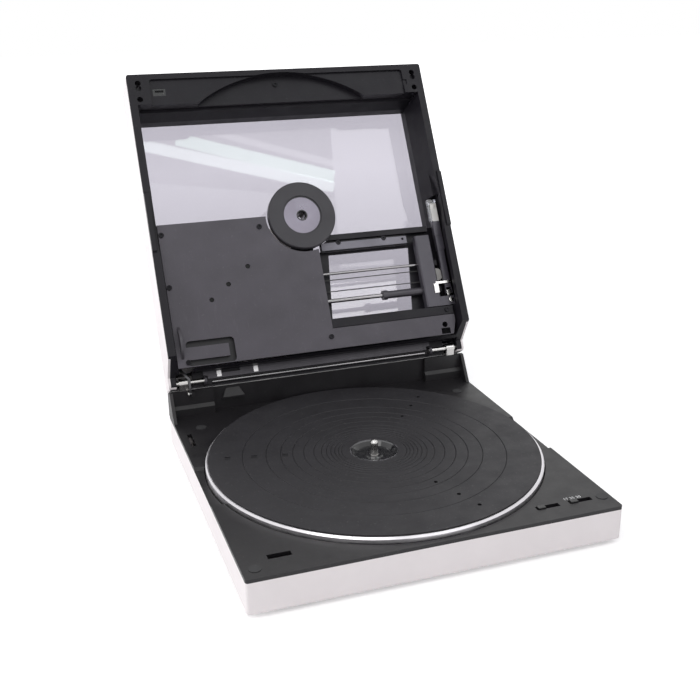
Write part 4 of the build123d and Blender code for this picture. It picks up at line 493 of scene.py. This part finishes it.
ARM_GREY = Finish("arm_grey", (0.060, 0.056, 0.070), 0.34, 0.2, mottle=0.06)
LAMP_LENS = Finish("lamp", (0.006, 0.006, 0.006), 0.22, mottle=0.03, polish_spread=0.03,
                   specular=0.20)
SMOKED_PANE = PaneFinish("clear_pane", (0.612, 0.600, 0.636), 0.005)
CLEAR_PLASTIC = PaneFinish("clear_plastic", (0.86, 0.88, 0.90), 0.03)
WHITE_PRINT = PrintFinish("white_print", (0.80, 0.80, 0.81))

AnyFinish = Finish | PaneFinish | PrintFinish


class Dresser:
    """Gives pieces their materials and makes each material once."""

    def __init__(self, spindle: Vector) -> None:
        """Keep what the rings of the turning pieces are centred on.

        Args:
            spindle: A point on the platter's axis.
        """
        self.spindle = spindle
        self.made: dict[str, bpy.types.Material] = {}

    def put(self, obj: bpy.types.Object, finish: AnyFinish, centre: Vector | None = None) -> None:
        """Give an object one material.

        Args:
            obj: The object.
            finish: Its finish.
            centre: Middle of the finish's rings, where that isn't the spindle.
        """
        key = finish.name if centre is None else f"{finish.name}_{centre.x:.4f}_{centre.y:.4f}"
        if key not in self.made:
            face = 0.0
            if isinstance(finish, Finish) and finish.looks is not None:
                face = max(Vector(finish.looks).dot(vertex.co) for vertex in obj.data.vertices)
            self.made[key] = finish.make(self.spindle if centre is None else centre, face)
        obj.data.materials.clear()
        obj.data.materials.append(self.made[key])


@dataclass
class Assembly:
    """Sub-assembly of the turntable.

    Args:
        title: Name of the sub-assembly.
        turns_on_spindle: Whether its rings are centred on the platter's axis.
    """

    title: str = ""
    turns_on_spindle: bool = False

    def finishes(self) -> dict[str, AnyFinish]:
        """Finish of each node."""
        return {}

    def build(self, dresser: Dresser) -> None:
        """Make the meshes that the frame doesn't have."""

    def dress(self, nodes: Nodes, dresser: Dresser) -> None:
        """Give each node its material.

        Args:
            nodes: The frame's nodes.
            dresser: Keeper of the materials.
        """
        for name, finish in self.finishes().items():
            centre = None
            ringed = isinstance(finish, Finish) and finish.grain is Grain.RINGS
            if ringed and not self.turns_on_spindle:
                low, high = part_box(name)
                centre = (low + high) / 2
            dresser.put(nodes[name], finish, centre)
            log.info("%s: %s in %s", self.title, name, finish.name)


@dataclass
class Case(Assembly):
    """Lower case with the deck, its feet, pads and sliders.

    Args:
        figures: Record sizes printed behind the right slider, in centimetres.
        figure_size: Height of the print's type.
        print_thickness: Thickness of the paint.
        slot_gap: Room between the print and the slider.
        print_reach: How far the print starts to the left of the slider's knob.
    """

    title: str = "case"
    figures: str = "17 25 30"
    figure_size: float = 4.6 * MM
    print_thickness: float = 0.06 * MM
    slot_gap: float = 2.0 * MM
    print_reach: float = 3.0 * MM

    def finishes(self) -> dict[str, AnyFinish]:
        """Finish of each node."""
        return {
            "cabinet": SILVER_CASE, "deck": BLACK_CASE, "feet": RUBBER, "deck_pads": RUBBER,
            "base_screws": DARK_STEEL, "speed_knob": KNOB_BLACK, "size_knob": KNOB_BLACK,
            "slide_switches": GREY_BAR, "rear_terminals": STEEL, "power_inlet": GLOSS_BLACK}

    def build(self, dresser: Dresser) -> None:
        """Print the record sizes on the deck.

        Args:
            dresser: Keeper of the materials.
        """
        knob_low, knob_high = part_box("size_knob")
        pad_low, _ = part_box("deck_pads")
        curve = bpy.data.curves.new("size_figures", "FONT")
        curve.body = self.figures
        curve.size = self.figure_size
        curve.extrude = self.print_thickness / 2
        text = bpy.data.objects.new("size_figures", curve)
        bpy.context.scene.collection.objects.link(text)
        text.location = (
            knob_low.x - self.print_reach, knob_high.y + self.slot_gap,
            pad_low.z + self.print_thickness / 2)
        dresser.put(text, WHITE_PRINT)
        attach(text, "base")
        log.info("%s: figures printed", self.title)


@dataclass
class Works(Assembly):
    """Motor, boards and transformer inside the lower case."""

    title: str = "works"
    turns_on_spindle: bool = True

    def finishes(self) -> dict[str, AnyFinish]:
        """Finish of each node."""
        return {
            "motor_board": BOARD_GREEN, "motor_coils": COPPER, "spindle_bearing": BRASS,
            "main_board": BOARD_GREEN, "transformer": DARK_STEEL}


@dataclass
class Platter(Assembly):
    """Platter with its mat, hub and spindle."""

    title: str = "platter"
    turns_on_spindle: bool = True

    def finishes(self) -> dict[str, AnyFinish]:
        """Finish of each node."""
        return {
            "platter": MACHINED, "mat": MAT_RUBBER, "centre_ring": CHROME,
            "hub_dish": GLOSS_BLACK, "spindle": STEEL, "rotor": MAGNET}


@dataclass
class Hinge(Assembly):
    """Hinge with its bar, pins, torsion bar and the stay link."""

    title: str = "hinge"

    def finishes(self) -> dict[str, AnyFinish]:
        """Finish of each node."""
        return {
            "hinge_brackets": STEEL, "hinge_pins": STEEL, "torsion_bar": POLISHED,
            "hinge_bar": SATIN_BAR, "hinge_clips": WHITE_STEEL, "stay_link": DARK_STEEL,
            "stay_fin": SATIN_BAR}


@dataclass
class Lid(Assembly):
    """Lid with its window, cover, screws, buttons and lamps."""

    title: str = "lid"

    def finishes(self) -> dict[str, AnyFinish]:
        """Finish of each node."""
        return {
            "lid_shell": SILVER_LID, "lid_frame": LID_BLACK, "window": SMOKED_PANE,
            "inner_cover": GRAPHITE, "lid_screws": BLACK_SCREW, "lid_switch": GLOSS_BLACK,
            "control_board": BOARD_GREEN, "start_button": LIGHT_GREY,
            "stop_button": LIGHT_GREY, "cue_button": LIGHT_GREY, "search_rocker": LIGHT_GREY,
            "sensor_lamps": LAMP_LENS}


@dataclass
class Clamp(Assembly):
    """Record clamp in the lid."""

    title: str = "clamp"

    def finishes(self) -> dict[str, AnyFinish]:
        """Finish of each node."""
        return {
            "clamp_holder": LID_BLACK, "clamp_ring": CLAMP_BLACK, "clamp_disc": CLAMP_STEEL,
            "clamp_stem": GLOSS_BLACK}


@dataclass
class Rails(Assembly):
    """Carriage with its frame, rails, cord and motor."""

    title: str = "rails"

    def finishes(self) -> dict[str, AnyFinish]:
        """Finish of each node."""
        return {
            "carriage_frame": LID_BLACK, "guard_bar": GREY_BAR, "guide_rod": POLISHED,
            "guide_rail": POLISHED, "drive_cord": CORD, "motor_pulley": LIGHT_GREY,
            "idler_pulley": LIGHT_GREY, "arm_motor": STEEL, "carriage": ARM_GREY,
            "carriage_sleeve": SATIN_BAR, "arm_terminals": STEEL}


@dataclass
class Arm(Assembly):
    """Tonearm with its yoke, cartridge and stylus guard."""

    title: str = "arm"

    def finishes(self) -> dict[str, AnyFinish]:
        """Finish of each node."""
        return {
            "arm_yoke": STEEL, "tonearm": ARM_GREY, "cartridge": LIGHT_GREY,
            "stylus_guard": CLEAR_PLASTIC}


@dataclass(frozen=True)
class Lamp:
    """Rectangular lamp.

    Args:
        name: Name of the lamp.
        at: Its middle.
        shines: Direction of its light.
        along: Direction of its width.
        size: Its width and height.
        power: Power in watts.
        color: Colour of the light.
        mirrored: Whether shiny surfaces show it.
    """

    name: str
    at: Rgb
    shines: Rgb
    along: Rgb
    size: tuple[float, float]
    power: float
    color: Rgb = (1.0, 1.0, 1.0)
    mirrored: bool = True

    def add(self) -> None:
        """Add the lamp to the scene."""
        data = bpy.data.lights.new(self.name, "AREA")
        data.shape = "RECTANGLE"
        data.size, data.size_y = self.size
        data.energy = self.power
        data.color = self.color
        lamp = bpy.data.objects.new(self.name, data)
        bpy.context.scene.collection.objects.link(lamp)
        z = -Vector(self.shines).normalized()
        y = z.cross(Vector(self.along)).normalized()
        x = y.cross(z)
        turn = Matrix((x, y, z)).transposed().to_4x4()
        lamp.matrix_world = Matrix.Translation(self.at) @ turn
        lamp.visible_glossy = self.mirrored


LAMPS = (
    Lamp("key", (-0.9, -1.1, 1.7), (0.9, 1.1, -1.6), (0.77, -0.63, 0), (1.3, 1.3), 13,
         (1.0, 0.985, 0.97)),
    Lamp("right", (0.797, -0.746, 1.366), (-0.223, 0.745, -0.629), (0.973, 0.136, -0.184),
         (0.505, 0.563), 1.5, (0.97, 0.96, 1.0)),
    Lamp("left", (-1.5, 0.1, 0.55), (1.4, -0.1, -0.4), (0.07, 1.0, 0), (1.0, 0.8), 8,
         mirrored=False),
    Lamp("back", (0.2, 1.4, 1.5), (-0.2, -1.4, -1.4), (1, 0, 0), (1.4, 0.8), 6),
    Lamp("upper_tube", (0.330, -0.726, 1.380), (-0.135, 0.746, -0.653), (0.940, -0.112, -0.322),
         (0.406, 0.031), 0.16, (0.72, 1.0, 0.82)),
    Lamp("lower_tube", (0.283, -0.740, 1.370), (-0.128, 0.744, -0.656), (0.947, -0.106, -0.304),
         (0.495, 0.028), 0.18, (0.86, 1.0, 0.92)),
    Lamp("tube_shade", (0.346, -0.703, 1.403), (-0.137, 0.742, -0.656), (0.934, -0.124, -0.336),
         (0.377, 0.017), 0.024),
    Lamp("low_card", (0.281, -0.97, 1.402), (-0.124, 0.761, -0.637), (0.976, -0.023, -0.216),
         (0.572, 0.196), 0.28, (0.97, 0.96, 1.0)),
    Lamp("patch", (0.545, -0.883, 0.970), (-0.186, 0.797, -0.575), (0.981, 0.119, -0.153),
         (0.249, 0.143), 0.42),
)


@dataclass
class Studio:
    """Camera, world, floor and lamps.

    Args:
        camera_at: Place of the camera.
        yaw: Turn of the camera to the right, in degrees.
        pitch: Tilt of the camera downwards, in degrees.
        roll: Roll of the camera, in degrees.
        lens: Focal length for a 36 mm sensor.
        soft_light: Strength of the even light all round.
        floor_size: Side of the floor.
        floor_color: Colour of the floor.
        floor_lift: Brightness that the camera sees on the floor beyond its lit colour, near the
            object and far from it.
        lift_span: Distances from the middle between which that brightness rises.
    """

    camera_at: Rgb = (-0.28892, -0.85193, 0.43842)
    yaw: float = 19.17
    pitch: float = 20.18
    roll: float = -0.58
    lens: float = 51.86
    soft_light: float = 0.50
    floor_size: float = 12.0
    floor_color: Rgb = (0.93, 0.93, 0.93)
    floor_lift: tuple[float, float] = (0.32, 1.0)
    lift_span: tuple[float, float] = (0.45, 1.6)

    def build(self) -> None:
        """Set up the whole studio."""
        self._camera()
        self._world()
        self._floor()
        for lamp in LAMPS:
            lamp.add()
        bpy.context.scene.view_settings.view_transform = "Standard"
        log.info("studio ready with %d lamps", len(LAMPS))

    def _camera(self) -> None:
        """Camera at the photo's place."""
        data = bpy.data.cameras.new("camera")
        data.lens = self.lens
        data.sensor_width = 36
        camera = bpy.data.objects.new("camera", data)
        bpy.context.scene.collection.objects.link(camera)
        turn = Matrix.Rotation(-math.radians(self.yaw), 4, "Z")
        turn = turn @ Matrix.Rotation(math.radians(90 - self.pitch), 4, "X")
        turn = turn @ Matrix.Rotation(math.radians(self.roll), 4, "Z")
        camera.matrix_world = Matrix.Translation(self.camera_at) @ turn
        bpy.context.scene.camera = camera

    def _world(self) -> None:
        """White surroundings to look at and a plain soft light for the rest."""
        world = bpy.data.worlds.new("studio")
        world.use_nodes = True
        tree = world.node_tree
        tree.nodes.clear()
        output = tree.nodes.new("ShaderNodeOutputWorld")
        soft = tree.nodes.new("ShaderNodeBackground")
        soft.inputs["Color"].default_value = (0.97, 0.97, 1.0, 1)
        soft.inputs["Strength"].default_value = self.soft_light
        seen = tree.nodes.new("ShaderNodeBackground")
        seen.inputs["Color"].default_value = (1, 1, 1, 1)
        seen.inputs["Strength"].default_value = 1.0
        mix = tree.nodes.new("ShaderNodeMixShader")
        tree.links.new(seen_directly(tree), mix.inputs[0])
        tree.links.new(soft.outputs[0], mix.inputs[1])
        tree.links.new(seen.outputs[0], mix.inputs[2])
        tree.links.new(mix.outputs[0], output.inputs["Surface"])
        bpy.context.scene.world = world

    def _floor(self) -> None:
        """Plain pale floor that keeps the object's shadow."""
        half = self.floor_size / 2
        mesh = bpy.data.meshes.new("floor")
        mesh.from_pydata(
            [(-half, -half, 0), (half, -half, 0), (half, half, 0), (-half, half, 0)], [],
            [(0, 1, 2, 3)])
        floor = bpy.data.objects.new("floor", mesh)
        bpy.context.scene.collection.objects.link(floor)
        surface = Surface("pale_floor")
        matt = surface.node("ShaderNodeBsdfDiffuse", Color=(*self.floor_color, 1))
        away = surface.node("ShaderNodeVectorMath", operation="LENGTH")
        surface.link(surface.where(), away.inputs[0])
        lift = surface.node("ShaderNodeEmission", Color=(1, 1, 1, 1))
        strength = surface.span(away.outputs["Value"], *self.floor_lift, self.lift_span)
        surface.link(
            surface.math("MULTIPLY", strength, seen_directly(surface.tree)),
            lift.inputs["Strength"])
        both = surface.node("ShaderNodeAddShader")
        surface.link(matt.outputs[0], both.inputs[0])
        surface.link(lift.outputs[0], both.inputs[1])
        mesh.materials.append(surface.finish(both.outputs[0]))


def seen_directly(tree: bpy.types.NodeTree) -> bpy.types.NodeSocket:
    """Tell rays of the camera, of mirror images and of clear panes from those of the light.

    Args:
        tree: Node tree of a material or of the world.

    Returns:
        A socket that is 1 for those rays.
    """
    path = tree.nodes.new("ShaderNodeLightPath")
    result = path.outputs["Is Camera Ray"]
    for name in ("Is Glossy Ray", "Is Transmission Ray"):
        either = tree.nodes.new("ShaderNodeMath")
        either.operation = "MAXIMUM"
        tree.links.new(result, either.inputs[0])
        tree.links.new(path.outputs[name], either.inputs[1])
        result = either.outputs[0]
    return result


def smooth_edges(nodes: Nodes) -> None:
    """Shade curved faces smoothly and keep the edges crisp.

    Args:
        nodes: The frame's nodes.
    """
    for obj in nodes.values():
        bpy.context.view_layer.objects.active = obj
        obj.select_set(True)
        bpy.ops.object.shade_smooth_by_angle(angle=CREASE_ANGLE)
        obj.select_set(False)


def main() -> None:
    """Load the frame, build and dress each sub-assembly and set up the studio."""
    logging.basicConfig(level=logging.INFO, format="%(name)s: %(message)s")
    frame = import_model()
    nodes = frame["nodes"]
    smooth_edges(nodes)
    low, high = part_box("spindle")
    dresser = Dresser((low + high) / 2)
    for assembly in (Case(), Works(), Platter(), Hinge(), Lid(), Clamp(), Rails(), Arm()):
        assembly.build(dresser)
        assembly.dress(nodes, dresser)
    Studio().build()


if __name__ == "__main__":
    main()
